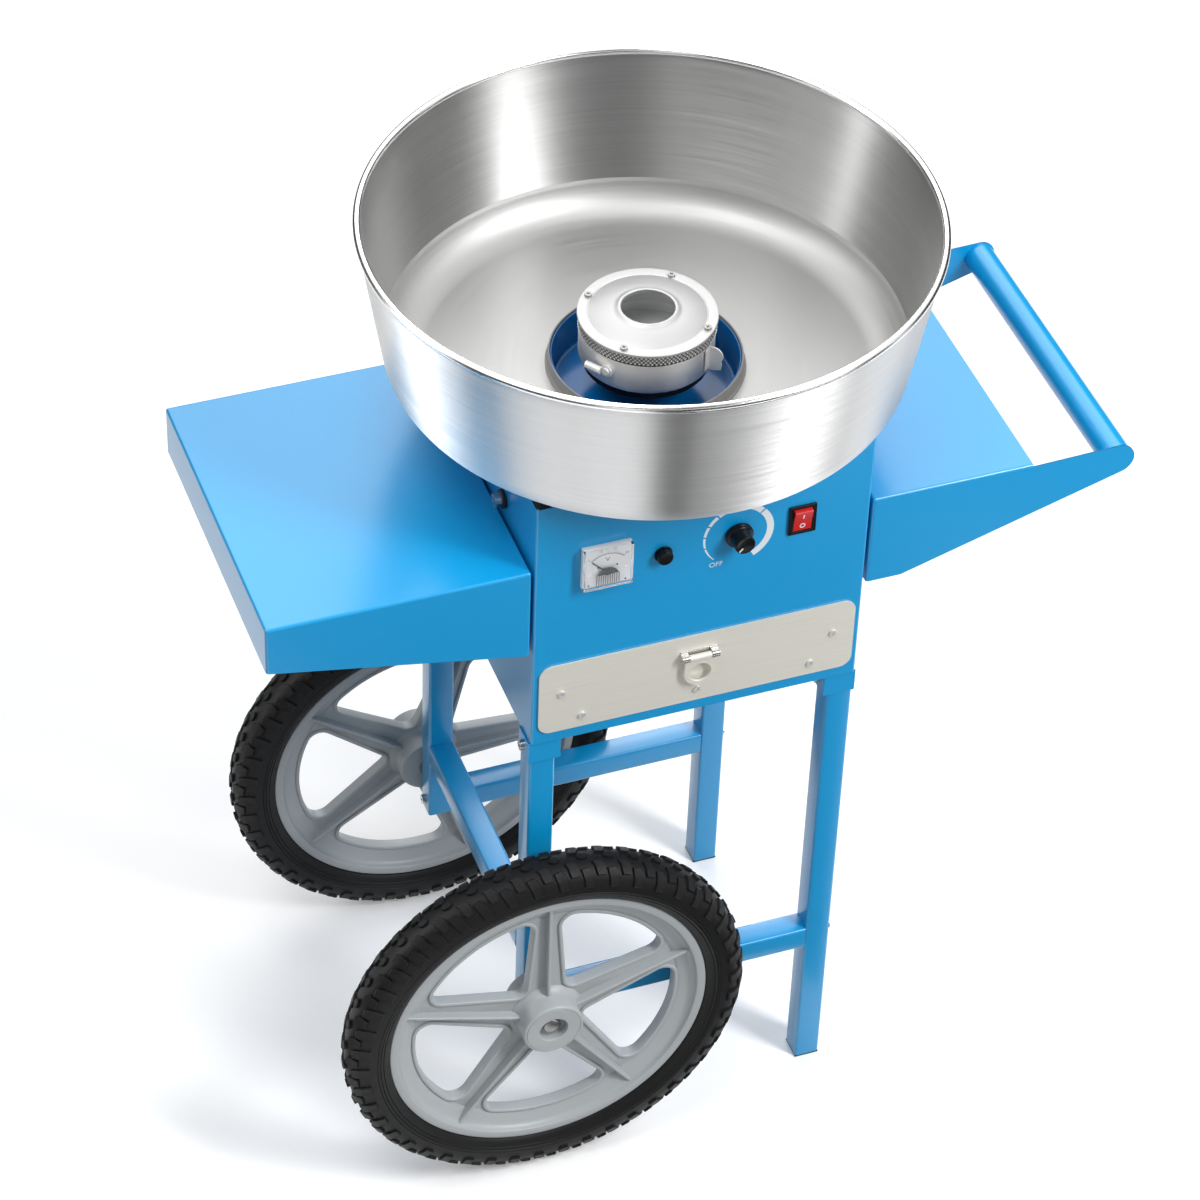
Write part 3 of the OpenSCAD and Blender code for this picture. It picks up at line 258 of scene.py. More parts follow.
grain_group, g_in, g_out = new_group(
    "surface_grain", [("Fineness", 600), ("Contrast", 0.05), ("Smudge", 0.05)],
    ["Shade", "Height", "Gloss change"])
link = grain_group.links.new
where = grain_group.nodes.new("ShaderNodeTexCoord").outputs["Object"]
fine = noise(grain_group, where, g_in.outputs["Fineness"], 2.0)
broad = noise(grain_group, where, 9.0, 4.0)
darkest = arithmetic(grain_group, "SUBTRACT", 1.0, g_in.outputs["Contrast"])
link(spread(grain_group, fine, darkest, 1.0), g_out.inputs["Shade"])
link(fine, g_out.inputs["Height"])
link(spread(grain_group, broad, 0.0, g_in.outputs["Smudge"]), g_out.inputs["Gloss change"])
print("group:", grain_group.name)

# %% Group: brush lines
line_group, l_in, l_out = new_group(
    "brush_lines", [("Along", 4), ("Across", 900), ("Contrast", 0.2)], ["Shade", "Height"])
line_group.interface.new_socket("Vector", in_out="INPUT", socket_type="NodeSocketVector")
link = line_group.links.new
stretch = line_group.nodes.new("ShaderNodeVectorMath")
stretch.operation = "MULTIPLY"
factors = line_group.nodes.new("ShaderNodeCombineXYZ")
link(l_in.outputs["Along"], factors.inputs["X"])
link(l_in.outputs["Across"], factors.inputs["Y"])
link(l_in.outputs["Across"], factors.inputs["Z"])
link(l_in.outputs["Vector"], stretch.inputs[0])
link(factors.outputs[0], stretch.inputs[1])
streak = noise(line_group, stretch.outputs[0], 1.0, 3.0)
dullest = arithmetic(line_group, "SUBTRACT", 1.0, l_in.outputs["Contrast"])
link(spread(line_group, streak, dullest, 1.0), l_out.inputs["Shade"])
link(streak, l_out.inputs["Height"])
print("group:", line_group.name)

# %% [markdown]
# ## Finishes
# A finish is one Principled shader. Its colour, roughness and bump come from the groups, and what is
# the same all over the surface is set on the shader itself. Pictures could carry the grain as well,
# but they need every surface laid out flat first, and noise in object coordinates does not.

# %% Finish helpers
GRAIN_BUMP, LINE_BUMP = 0.35, 0.3


def new_material(name):
    material = bpy.data.materials.new(name)
    material.use_nodes = True
    return material, material.node_tree, material.node_tree.nodes["Principled BSDF"]


def place_group(tree, group, **values):
    node = tree.nodes.new("ShaderNodeGroup")
    node.node_tree = group
    return preset(node, **values)


def tint(tree, bsdf, colour, shade):
    """Base colour times a shade that changes over the surface."""
    node = tree.nodes.new("ShaderNodeMix")
    node.data_type = "RGBA"
    node.blend_type = "MULTIPLY"
    preset(node, Factor=1.0, A=(*colour, 1))
    tree.links.new(shade, node.inputs["B"])
    tree.links.new(node.outputs["Result"], bsdf.inputs["Base Color"])


def bump(tree, bsdf, height, strength, distance):
    node = preset(tree.nodes.new("ShaderNodeBump"), Strength=strength, Distance=distance)
    tree.links.new(height, node.inputs["Height"])
    tree.links.new(node.outputs["Normal"], bsdf.inputs["Normal"])


def grained(name, colour, rough, fineness, contrast=0.06, smudge=0.06, relief=0.0001, metallic=0.0):
    material, tree, bsdf = new_material(name)
    grain = place_group(tree, grain_group, Fineness=fineness, Contrast=contrast, Smudge=smudge)
    tint(tree, bsdf, colour, grain.outputs["Shade"])
    roughness = arithmetic(tree, "ADD", grain.outputs["Gloss change"], rough)
    tree.links.new(roughness, bsdf.inputs["Roughness"])
    bump(tree, bsdf, grain.outputs["Height"], GRAIN_BUMP, relief)
    preset(bsdf, Metallic=metallic)
    return material, bsdf


def brushed(name, colour, rough, along, across, contrast, relief=0.00003, around=False):
    """Metal with lines along X, or around the piece's own Z axis."""
    material, tree, bsdf = new_material(name)
    where = tree.nodes.new("ShaderNodeTexCoord").outputs["Object"]
    lines = place_group(tree, line_group, Along=along, Across=across, Contrast=contrast)
    if around:
        centre = tree.nodes.new("ShaderNodeVectorMath")
        centre.operation = "SUBTRACT"
        centre.inputs[1].default_value = (AXIS_X / 1000, 0, 0)
        tree.links.new(where, centre.inputs[0])
        split = tree.nodes.new("ShaderNodeSeparateXYZ")
        tree.links.new(centre.outputs[0], split.inputs[0])
        squares = [arithmetic(tree, "MULTIPLY", split.outputs[axis], split.outputs[axis]) for axis in "XY"]
        radius = arithmetic(tree, "SQRT", arithmetic(tree, "ADD", *squares), 0.0)
        angle = arithmetic(tree, "ARCTAN2", split.outputs["Y"], split.outputs["X"])
        join = tree.nodes.new("ShaderNodeCombineXYZ")
        tree.links.new(angle, join.inputs["X"])
        tree.links.new(radius, join.inputs["Y"])
        tree.links.new(split.outputs["Z"], join.inputs["Z"])
        where = join.outputs[0]
    tree.links.new(where, lines.inputs["Vector"])
    tint(tree, bsdf, colour, lines.outputs["Shade"])
    tree.links.new(spread(tree, lines.outputs["Height"], rough * 0.8, rough * 1.25), bsdf.inputs["Roughness"])
    bump(tree, bsdf, lines.outputs["Height"], LINE_BUMP, relief)
    preset(bsdf, Metallic=1.0)
    return material, tree, bsdf

# %% Paint, plastic and rubber
FINISH = {}
FINISH["blue_paint"], paint = grained("blue_powder_coat", (0.002, 0.32, 0.67), 0.268, 420, 0.05, 0.05, 0.0001)
preset(paint, Specular_IOR_Level=0.5, Coat_Weight=0.5, Coat_Roughness=0.2)
FINISH["black_rubber"], _ = grained("black_rubber", (0.012, 0.012, 0.013), 0.55, 700, 0.3, 0.15, 0.0002)
FINISH["seal_rubber"], _ = grained("grey_seal_rubber", (0.25, 0.245, 0.24), 0.45, 700, 0.15, 0.15, 0.0001)
FINISH["tyre_rubber"], tread = grained("tyre_rubber", (0.011, 0.011, 0.0115), 0.4, 900, 0.45, 0.2, 0.0003)
preset(tread, Specular_IOR_Level=0.2)
FINISH["wheel_plastic"], _ = grained("wheel_plastic", (0.42, 0.445, 0.455), 0.36, 800, 0.06, 0.1, 0.0001)
FINISH["black_plastic"], gloss = grained("black_plastic", (0.008, 0.008, 0.009), 0.2, 900, 0.2, 0.08, 0.00006)
preset(gloss, Specular_IOR_Level=0.2)
FINISH["red_plastic"], _ = grained("red_plastic", (0.62, 0.012, 0.014), 0.2, 900, 0.08, 0.08, 0.00004)
FINISH["white_plastic"], _ = grained("white_plastic", (0.8, 0.8, 0.79), 0.5, 1500, 0.04, 0.05, 0.00003)
FINISH["head_aluminium"], _, _ = brushed(
    "turned_aluminium", (0.54, 0.54, 0.54), 0.52, 3, 1500, 0.14, around=True)
FINISH["motor_steel"], _ = grained("plain_steel", (0.75, 0.75, 0.75), 0.45, 300, 0.15, 0.15, 0.00008, 0.4)
FINISH["copper_parts"], _ = grained("copper", (0.75, 0.46, 0.24), 0.35, 300, 0.2, 0.15, 0.00008, 1.0)
FINISH["bright_metal"], _ = grained("bright_nickel", (0.66, 0.65, 0.63), 0.2, 900, 0.08, 0.06, 0.00003, 1.0)
FINISH["drawer_steel"], _, plate_steel = brushed("drawer_steel", (0.84, 0.815, 0.73), 0.42, 14, 1700, 0.16)
preset(plate_steel, Metallic=0.3)
# The well's coat is a darker copy of the blue paint: painted shade inside the well.
well_paint_shaded, _ = grained("well_powder_coat_shaded", (0.002, 0.13, 0.38), 0.14, 420, 0.05, 0.08, 0.0001)
dull_steel, _ = grained("dull_steel", (0.32, 0.32, 0.315), 0.3, 700, 0.12, 0.1, 0.00004, 1.0)
zinc_plate, _ = grained("zinc_plate", (0.78, 0.78, 0.77), 0.45, 700, 0.12, 0.1, 0.00004, 0.6)
print_white, _ = grained("printed_white", (0.74, 0.78, 0.8), 0.4, 1500, 0.03, 0.05, 0.00002)
print_black, _ = grained("printed_black", (0.015, 0.015, 0.015), 0.45, 1500, 0.1, 0.05, 0.00002)
black_card, _ = grained("black_card", (0.02, 0.02, 0.02), 0.8, 40, 0.1, 0.05, 0.0001)
for card_mesh in card_meshes:
    card_mesh.materials.append(black_card)
print("plain finishes:", len(FINISH))

# %% Floor finish
# The floor is white where it is seen or mirrored, and throws less light up into the object's shaded sides.
studio_floor, tree, bsdf = new_material("studio_floor")
preset(bsdf, Base_Color=(0.92, 0.92, 0.92, 1), Roughness=0.8, Specular_IOR_Level=0.0)
preset(bsdf, Emission_Color=(1, 1, 1, 1), Emission_Strength=0.15)
bounced = preset(tree.nodes.new("ShaderNodeBsdfDiffuse"), Color=(0.45, 0.45, 0.45, 1))
ray = tree.nodes.new("ShaderNodeLightPath").outputs
surface = either(tree, ray["Is Diffuse Ray"], bsdf.outputs[0], bounced.outputs[0])
tree.links.new(surface, tree.nodes["Material Output"].inputs["Surface"])
floor_mesh.materials.append(studio_floor)
print("floor finish:", studio_floor.name)

# %% Spun steel of the bowl and the head's pot
# Lines run around the axis, so a highlight is drawn out across them: up the wall and along the radius.
def draw_out(tree, bsdf, amount):
    preset(bsdf, Anisotropic=amount, Anisotropic_Rotation=0.25)
    radial = tree.nodes.new("ShaderNodeTangent")
    radial.direction_type = "RADIAL"
    radial.axis = "Z"
    tree.links.new(radial.outputs[0], bsdf.inputs["Tangent"])


FINISH["bowl_steel"], tree, bsdf = brushed(
    "spun_steel", (0.88, 0.88, 0.875), 0.42, 1.6, 420, 0.2, around=True)
draw_out(tree, bsdf, 0.92)
# The inside wall and the floor are darker copies of the same steel: painted shade inside the bowl.
spun_inside_shaded, tree, bsdf = brushed(
    "spun_inside_shaded", (0.44, 0.44, 0.435), 0.4, 1.6, 420, 0.24, around=True)
draw_out(tree, bsdf, 0.92)
spun_floor_shaded, _, _ = brushed("spun_floor_shaded", (0.5, 0.5, 0.495), 0.52, 1.6, 500, 0.1, 0.00002, around=True)
rolled_edge, _, _ = brushed("rolled_edge", (0.92, 0.92, 0.915), 0.21, 1.6, 900, 0.06, 0.00001, around=True)
polished_pot, tree, bsdf = brushed("polished_pot", (0.86, 0.85, 0.835), 0.35, 3, 1500, 0.1, around=True)
draw_out(tree, bsdf, 0.8)
# The inside of the pot is a paler, almost non-metallic copy of the pot's metal: painted light that lifts the
# shade in the head.
pot_inside_painted_light, _, inside = brushed("pot_inside_painted_light", (0.92, 0.92, 0.92), 0.6, 3, 900, 0.1, around=True)
preset(inside, Metallic=0.1)
print("spun finishes:", spun_inside_shaded.name, spun_floor_shaded.name, rolled_edge.name, polished_pot.name)

# %% Clear cover
clear, tree, bsdf = new_material("clear_cover")
preset(bsdf, Base_Color=(0.97, 0.98, 1.0, 1), Transmission_Weight=1.0, IOR=1.49)
haze = place_group(tree, grain_group, Fineness=300, Contrast=0.0, Smudge=0.05)
tree.links.new(haze.outputs["Gloss change"], bsdf.inputs["Roughness"])
FINISH["clear_cover"] = clear
print("finishes:", len(FINISH))

# %% Paint every solid with the finish of its slot
for node, solid in frame["nodes"].items():
    solid.data.materials.clear()
    solid.data.materials.append(FINISH[SLOT_OF[node]])
print("painted solids:", len(frame["nodes"]))

# %% [markdown]
# ## Mesh helpers
# A piece is a list of points in millimetres around the bowl's axis and a list of faces.
# Its normals are made to point outwards, its smooth stretches are shaded smooth, and it rides on the
# body that the solid it stands for belongs to. Blender's own tools could add and edit shapes too, but
# lists keep every size in the script.

# %% Helpers: pieces
JOIN = 0.000002


def in_metres(points):
    return [((x + AXIS_X) / 1000, y / 1000, z / 1000) for x, y, z in points]


def cleaned(mesh, reach=JOIN):
    """Joins points that lie within reach, in metres, and turns all faces outwards."""
    work = bmesh.new()
    work.from_mesh(mesh)
    bmesh.ops.remove_doubles(work, verts=work.verts, dist=reach)
    bmesh.ops.recalc_face_normals(work, faces=work.faces)
    work.to_mesh(mesh)
    work.free()
    return mesh


def piece(name, points, faces, slot, body, stands_for=(), sharp=32, material=None):
    mesh = cleaned(mesh_of(name, in_metres(points), faces))
    return dress(name, mesh, slot, body, stands_for, sharp, material)


def dress(name, mesh, slot, body, stands_for=(), sharp=32, material=None):
    mesh.materials.clear()
    mesh.materials.append(material or FINISH[slot])
    mesh.shade_smooth()
    mesh.set_sharp_from_angle(angle=math.radians(sharp))
    thing = linked(name, mesh)
    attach(thing, body)
    if stands_for:
        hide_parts(*stands_for)
    return thing

# %% Helpers: outlines
def polar(radius, degrees, centre=(0, 0)):
    a = math.radians(degrees)
    return centre[0] + radius * math.cos(a), centre[1] + radius * math.sin(a)


def arc(centre, radius, start, end, steps):
    return [polar(radius, start + (end - start) * i / steps, centre) for i in range(steps + 1)]


def turned(line, degrees):
    c, s = polar(1, degrees)
    return [(c * x - s * y, s * x + c * y) for x, y in line]

# %% Helpers: turned and joined shapes
def lathe(outline, steps=128):
    """Closed outline of (radius, height) turned around Z."""
    points, faces = [], []
    count = len(outline)
    for k in range(steps):
        c, s = math.cos(2 * math.pi * k / steps), math.sin(2 * math.pi * k / steps)
        points += [(r * c, r * s, h) for r, h in outline]
        for i in range(count):
            j, far = (i + 1) % count, ((k + 1) % steps) * count
            faces.append((k * count + i, k * count + j, far + j, far + i))
    return points, faces


def merge(*parts):
    points, faces = [], []
    for more_points, more_faces in parts:
        base = len(points)
        points += more_points
        faces += [tuple(base + i for i in face) for face in more_faces]
    return points, faces


def moved(part, change):
    return [tuple(change(p)) for p in part[0]], part[1]

# %% Helpers: rounded edges
def round_edges(thing, width, steps=3, angle=35):
    edge = thing.modifiers.new("rounded_edges", "BEVEL")
    edge.width = width / 1000
    edge.segments = steps
    edge.limit_method = "ANGLE"
    edge.angle_limit = math.radians(angle)
    return evened(thing)


def evened(thing):
    """Shades a rounded piece smooth, with its flat faces kept flat."""
    thing.data.shade_smooth()
    thing.modifiers.new("even_shading", "WEIGHTED_NORMAL").keep_sharp = False
    return thing


def soften(node, width, steps=2):
    """Copies a solid, joins its flat faces and rounds its edges."""
    mesh = frame["nodes"][node].data.copy()
    work = bmesh.new()
    work.from_mesh(mesh)
    bmesh.ops.remove_doubles(work, verts=work.verts, dist=JOIN)
    bmesh.ops.dissolve_limit(work, angle_limit=math.radians(0.4), verts=work.verts, edges=work.edges)
    work.to_mesh(mesh)
    work.free()
    for edge in mesh.edges:
        edge.use_edge_sharp = False
    thing = dress(node + "_soft", mesh, SLOT_OF[node], BODY_OF[node], (node,), 180)
    return round_edges(thing, width, steps)

# %% [markdown]
# ## Bowl
# The real bowl is one sheet of steel, spun over a former: a leaning wall, a wide round corner and a
# flat floor, with the edge rolled over a wire. A screw modifier could turn it from a curve. The lathe
# helper is used instead, because its faces can be told apart, so that wall, floor and edge each get
# their own finish. The inside wall and the floor are darker copies of the steel: painted shade.

# %% Bowl
SEAT, SHEET, RIM_R, RIM_TOP, LEAN, CORNER, BEAD = 805.0, 1.2, 260.0, 968.0, 26.0, 38.0, 3.7
wall_angle = math.degrees(math.atan2(LEAN, RIM_TOP - SEAT - BEAD))
wall_top = RIM_R - BEAD + SHEET / 2
lean = math.radians(wall_angle)
corner_x = wall_top - LEAN + CORNER * math.tan(lean) - CORNER / math.cos(lean)
corner = (corner_x, SEAT + CORNER)
bead = (RIM_R - BEAD, RIM_TOP - BEAD)
HOLE_R = 87.4
FLOOR_RINGS = (110, 140, 170)
outline = [(HOLE_R, SEAT)] + [(r, SEAT) for r in FLOOR_RINGS]
outline += arc(corner, CORNER, -90, -wall_angle, 16)
outline += arc(bead, BEAD, -78, 258, 22)
FILLET_STEPS = 20
CREASE = 1.1
fillet = arc((0, 0), 1.0, -wall_angle, -90, FILLET_STEPS)
outline.append((corner[0] + (CORNER - SHEET) * fillet[0][0], corner[1] + (CORNER - SHEET) * fillet[0][1]))
for k, (c, s) in enumerate(fillet[1:-1]):
    inner_r = CORNER - SHEET - CREASE * (1 - k / (FILLET_STEPS - 2)) ** 2
    outline.append((corner[0] + inner_r * c, corner[1] + inner_r * s))
outline.append((corner[0], SEAT + SHEET))
outline += [(r, SEAT + SHEET) for r in reversed(FLOOR_RINGS)] + [(HOLE_R, SEAT + SHEET)]
bowl = piece("spun_bowl", *lathe(outline, 192), "bowl_steel", "bowl", ("bowl",), sharp=34)
# The floor and the inside wall get the darker steel, which is painted shade. The rolled edge gets its own
# polish.
for finish in (spun_floor_shaded, rolled_edge, spun_inside_shaded):
    bowl.data.materials.append(finish)
FLOOR_TILT = 0.19
for face in bowl.data.polygons:
    if face.center.z > (RIM_TOP - 2 * BEAD) / 1000:
        face.material_index = 2
    elif face.normal.z > FLOOR_TILT and face.center.z < (SEAT + CORNER) / 1000:
        face.material_index = 1
    elif face.normal.z > 0.0:
        face.material_index = 3
print("bowl corner centre", [round(v, 1) for v in corner])

# %% Seal
seal = [(85.8, 803.5), (87.3, 803.5), (87.3, 806.2), (90, 806.2), (90, 807)]
seal += [(89.2, 807.6), (87.7, 808.2), (87.4, 809)]
seal += arc((86.6, 818.4), 0.8, 0, 180, 6)
piece("bowl_seal_ring", *lathe(seal, 128), "seal_rubber", "bowl", ("bowl_seal",), sharp=50)
print("seal from", seal[0][1], "to", max(h for _, h in seal))

# %% [markdown]
# ## Well and spinning head
# Sugar falls through the hole in the lid, melts in the head and is flung out through a band of fine
# holes. The lid is bright turned aluminium, the pot below it is polished. The band is modelled as rows
# of small raised diamonds, because its holes are too fine to cut one by one. They stand on a black ring
# that is painted shade: the dark of the holes and of the gaps between the diamonds.

# %% Well
well = [(16, 779), (81.5, 779)] + arc((81.5, 783), 4, -90, 0, 5)
well += [(85.5, 801), (97.4, 801), (97.4, 802.4), (85.5, 802.4)]
well += arc((84.75, 816.4), 0.75, 0, 180, 6) + [(84, 784)] + arc((80.5, 784), 3.5, 0, -90, 5) + [(16, 780.5)]
# The well wears the darker copy of the blue paint, which is painted shade.
piece("well_dish", *lathe(well, 128), "blue_paint", "cart", ("well_cup",), sharp=50, material=well_paint_shaded)
print("well floor at", well[0][1])

# %% Pot of the head
HEAD_Z, BASE_R, BAND_Z, LID_Z, LID_R = 817.2, 61.0, 851.2, 861.2, 63.0
POT_IN, POT_CORNER, SHAFT_R = 58.5, 7, 5.2
pot = [(SHAFT_R, HEAD_Z)] + arc((BASE_R - POT_CORNER, HEAD_Z + POT_CORNER), POT_CORNER, -90, 0, 8)
pot += [(BASE_R, BAND_Z - 2), (BASE_R + 0.9, BAND_Z - 1.6), (BASE_R + 0.9, BAND_Z), (POT_IN, BAND_Z)]
pot += [(POT_IN, HEAD_Z + 20), (54.5, HEAD_Z + 20), (54.5, HEAD_Z + 6.5), (14, HEAD_Z + 6.5)]
pot += [(14, HEAD_Z + 15), (SHAFT_R, HEAD_Z + 15)]
head_pot = piece("head_pot", *lathe(pot, 128), "head_aluminium", "spinner", ("head_base",), 40, polished_pot)
head_pot.data.materials.append(pot_inside_painted_light)
# The inner faces get the paler copy, which is painted light.
for face in head_pot.data.polygons:
    from_axis = math.hypot(face.center.x - AXIS_X / 1000, face.center.y)
    if face.center.z > (HEAD_Z + 6) / 1000 and from_axis < (POT_IN + 0.1) / 1000:
        face.material_index = 1
print("pot radius", BASE_R)

# %% Lid and sleeve of the head
lid = [(53.5, LID_Z), (LID_R - 0.4, LID_Z)] + arc((LID_R - 0.8, LID_Z + 2.2), 0.8, 0, 90, 4)
lid += [(54.1, LID_Z + 3), (53.7, LID_Z + 2.7), (52.9, LID_Z + 2.7), (52.4, LID_Z + 3.1), (31.5, LID_Z + 6.5)]
lid += [(29.6, LID_Z + 7.0), (28.4, LID_Z + 7.7), (27.2, LID_Z + 8.5), (26.2, LID_Z + 8.9)]
lid.append((25.4, LID_Z + 9.0))
lid += arc((24.8, LID_Z + 8.3), 0.7, 90, 180, 3) + [(24.1, LID_Z + 5), (53.5, LID_Z + 1)]
piece("head_cover", *lathe(lid, 128), "head_aluminium", "spinner", ("head_lid",), sharp=35)
soften("slip_sleeve", 0.6)
print("lid radius", LID_R)

# %% Sieve of the head
ROWS, TEETH, SIEVE_R = 5, 100, 61.3
DIAMOND, PEAK, ROOT = 0.84, 0.9, -0.1
CORNERS = ((-DIAMOND, 0), (0, -DIAMOND), (DIAMOND, 0), (0, DIAMOND), (0, 0))
ring_line = [(54, BAND_Z), (SIEVE_R, BAND_Z), (SIEVE_R, LID_Z), (54, LID_Z)]
# The ring under the diamonds is near-black: painted shade of the holes and of the gaps between the diamonds.
piece("sieve_shade_ring", *lathe(ring_line, 128), "bright_metal", "spinner", ("head_band",), 40, print_black)
points, faces = [], []
half_turn, half_rise = math.pi / TEETH, (LID_Z - BAND_Z) / ROWS
for row in range(1, ROWS):
    for k in range(TEETH):
        middle_turn = half_turn * (2 * k + row % 2)
        middle_z = BAND_Z + half_rise * row
        base = len(points)
        for along, up_by in CORNERS:
            a = middle_turn + along * half_turn
            r = SIEVE_R + (PEAK if (along, up_by) == (0, 0) else ROOT)
            points.append((r * math.cos(a), r * math.sin(a), middle_z + up_by * half_rise))
        faces += [(base + i, base + (i + 1) % 4, base + 4) for i in range(4)]
        faces.append((base + 3, base + 2, base + 1, base))
piece("sieve_diamonds", points, faces, "bright_metal", "spinner", sharp=8)
print("sieve diamonds:", (ROWS - 1) * TEETH)

# %% [markdown]
# ## Screws
# Every visible screw has a rounded head with a cross or a slot. The heads are copies of the solids with
# rounded edges, and a boolean cuts the recess into each, so the shanks behind them stay.

# %% Recess helpers
def prism_faces(base, count):
    """The faces of a prism whose lower and upper outline follow each other from the point base on."""
    low, high = range(base, base + count), range(base + count, base + 2 * count)
    sides = [(low[i], low[(i + 1) % count], high[(i + 1) % count], high[i]) for i in range(count)]
    return [tuple(reversed(low)), tuple(high)] + sides


def finished_mesh(thing):
    """The mesh of an object with its modifiers worked in, or the mesh that a curve makes."""
    bpy.context.view_layer.update()
    return bpy.data.meshes.new_from_object(thing.evaluated_get(bpy.context.evaluated_depsgraph_get()))


def cut_recesses(thing, places, reach, width, depth, cross=True):
    """Cuts a cross or a slot into each head: places are the middle of its top and the way it faces."""
    half = width / 2
    line = [(reach, -half), (reach, half), (-reach, half), (-reach, -half)]
    if cross:
        arm = [(reach, -half), (reach, half), (half, half)]
        line = [point for k in range(4) for point in turned(arm, 90 * k)]
    tool_points, tool_faces = [], []
    for k, (spot, facing) in enumerate(places):
        aim = Vector(facing).to_track_quat("Z", "X").to_matrix()
        spin = Matrix.Rotation(math.radians(20 + 37 * k), 3, "Z")
        tool_faces += prism_faces(len(tool_points), len(line))
        for height in (-depth, depth):
            tool_points += [Vector(spot) + aim @ spin @ Vector((x, y, height)) for x, y in line]
    tool = linked("recess_tool", mesh_of("recess_tool", in_metres(tool_points), tool_faces))
    cut = thing.modifiers.new("recess", "BOOLEAN")
    cut.operation = "DIFFERENCE"
    cut.object = tool
    thing.modifiers.move(len(thing.modifiers) - 1, 0)
    thing.data = finished_mesh(thing)
    thing.modifiers.clear()
    bpy.data.objects.remove(tool)
    return thing


def screw_heads(node, places, reach, width, depth, edge, cross=True):
    return cut_recesses(soften(node, edge, 3), places, reach, width, depth, cross)

# %% Screw heads
SCREW_RING, FIRST_SCREW = 57, 48
places = [((*polar(SCREW_RING, FIRST_SCREW + 90 * k), LID_Z + 5.0), (0, 0, 1)) for k in range(4)]
screw_heads("head_screws", places, 2.0, 0.9, 1.0, 0.9).data.materials[0] = dull_steel
DRAWER_FACE = -162.1
DRAWER_SCREWS = ((-130.8, 582), (130.8, 582), (-110.5, 550.5), (110.5, 550.5), (0, 550.5))
places = [((x, DRAWER_FACE, z), (0, -1, 0)) for x, z in DRAWER_SCREWS]
screw_heads("drawer_screws", places, 2.1, 0.9, 0.9, 0.9).data.materials[0] = zinc_plate
BOLT_X, BOLT_Y, BOLT_Z = 168, 75, 750
places = [((side * BOLT_X, y, BOLT_Z), (side, 0, 0)) for side in (-1, 1) for y in (-BOLT_Y, BOLT_Y)]
screw_heads("shelf_bolts", places, 8.0, 1.5, 1.6, 1.6, cross=False)
LEG_Y = 143.0
LEG_BOLTS = ((163.5, 512), (162, 172.5))
places = [((side * x, y, z), (side, 0, 0))
          for side in (-1, 1) for y in (-LEG_Y, LEG_Y) for x, z in LEG_BOLTS]
screw_heads("leg_bolts", places, 3.0, 1.2, 1.6, 1.5)
soften("shelf_washers", 0.8)
print("screw heads: 21")

# %% [markdown]
# ## Folded sheet
# The cabinet and shelves are bent from sheet steel, so their edges are small round folds. A bevel on a
# finished box would round the cut edges as well, which stay square on real sheet. So each is made as
# a skin without thickness, its folded edges are rounded, and it is thickened inwards.

# %% Folded sheet helper
FOLD = 2.6
GAUGE = 1.5


def folded(name, points, faces, stands_for):
    thing = piece(name, points, faces, "blue_paint", "cart", stands_for, sharp=180)
    work = bmesh.new()
    work.from_mesh(thing.data)
    bends = [e for e in work.edges if len(e.link_faces) == 2 and e.calc_face_angle(0) > 0.6]
    bmesh.ops.bevel(work, geom=bends, offset=FOLD / 1000, segments=4, profile=0.5, affect="EDGES")
    work.to_mesh(thing.data)
    work.free()
    thick = thing.modifiers.new("gauge", "SOLIDIFY")
    thick.thickness = GAUGE / 1000
    thick.offset = -1.0
    return evened(thing)

# %% Cabinet
CAB_X, CAB_Y, CAB_LOW, CAB_HIGH = 158.0, 158.5, 524.0, 804.0
OPEN_X, OPEN_LOW, OPEN_HIGH = 144.0, 544.5, 609.0
plan = ((-CAB_X, -CAB_Y), (CAB_X, -CAB_Y), (CAB_X, CAB_Y), (-CAB_X, CAB_Y))
points = [(x, y, z) for z in (CAB_LOW, CAB_HIGH) for x, y in plan]
points += [(-OPEN_X, -CAB_Y, OPEN_LOW), (OPEN_X, -CAB_Y, OPEN_LOW)]
points += [(OPEN_X, -CAB_Y, OPEN_HIGH), (-OPEN_X, -CAB_Y, OPEN_HIGH)]
faces = [(0, 1, 9, 8), (1, 5, 10, 9), (5, 4, 11, 10), (4, 0, 8, 11), (1, 2, 6, 5), (2, 3, 7, 6), (3, 0, 4, 7)]
folded("cabinet_shell", points, faces,
       ("front_panel", "left_side_panel", "right_side_panel", "back_panel"))
print("cabinet height", CAB_HIGH - CAB_LOW)

# %% Left shelf
ROOT_X, TIP_X, SHELF_Y, SHELF_TOP = -160.5, -402.0, 157.5, 732.0
ROOT_LOW, TIP_LOW = SHELF_TOP - 98.0, SHELF_TOP - 50.0
points = []
for root_z, tip_z in ((SHELF_TOP, SHELF_TOP), (ROOT_LOW, TIP_LOW)):
    points += [(ROOT_X, -SHELF_Y, root_z), (ROOT_X, SHELF_Y, root_z)]
    points += [(TIP_X, SHELF_Y, tip_z), (TIP_X, -SHELF_Y, tip_z)]
faces = [(0, 1, 2, 3), (0, 3, 7, 4), (1, 5, 6, 2), (3, 2, 6, 7), (0, 4, 5, 1)]
folded("left_tray", points, faces, ("left_shelf",))
print("left shelf reach", ROOT_X - TIP_X)

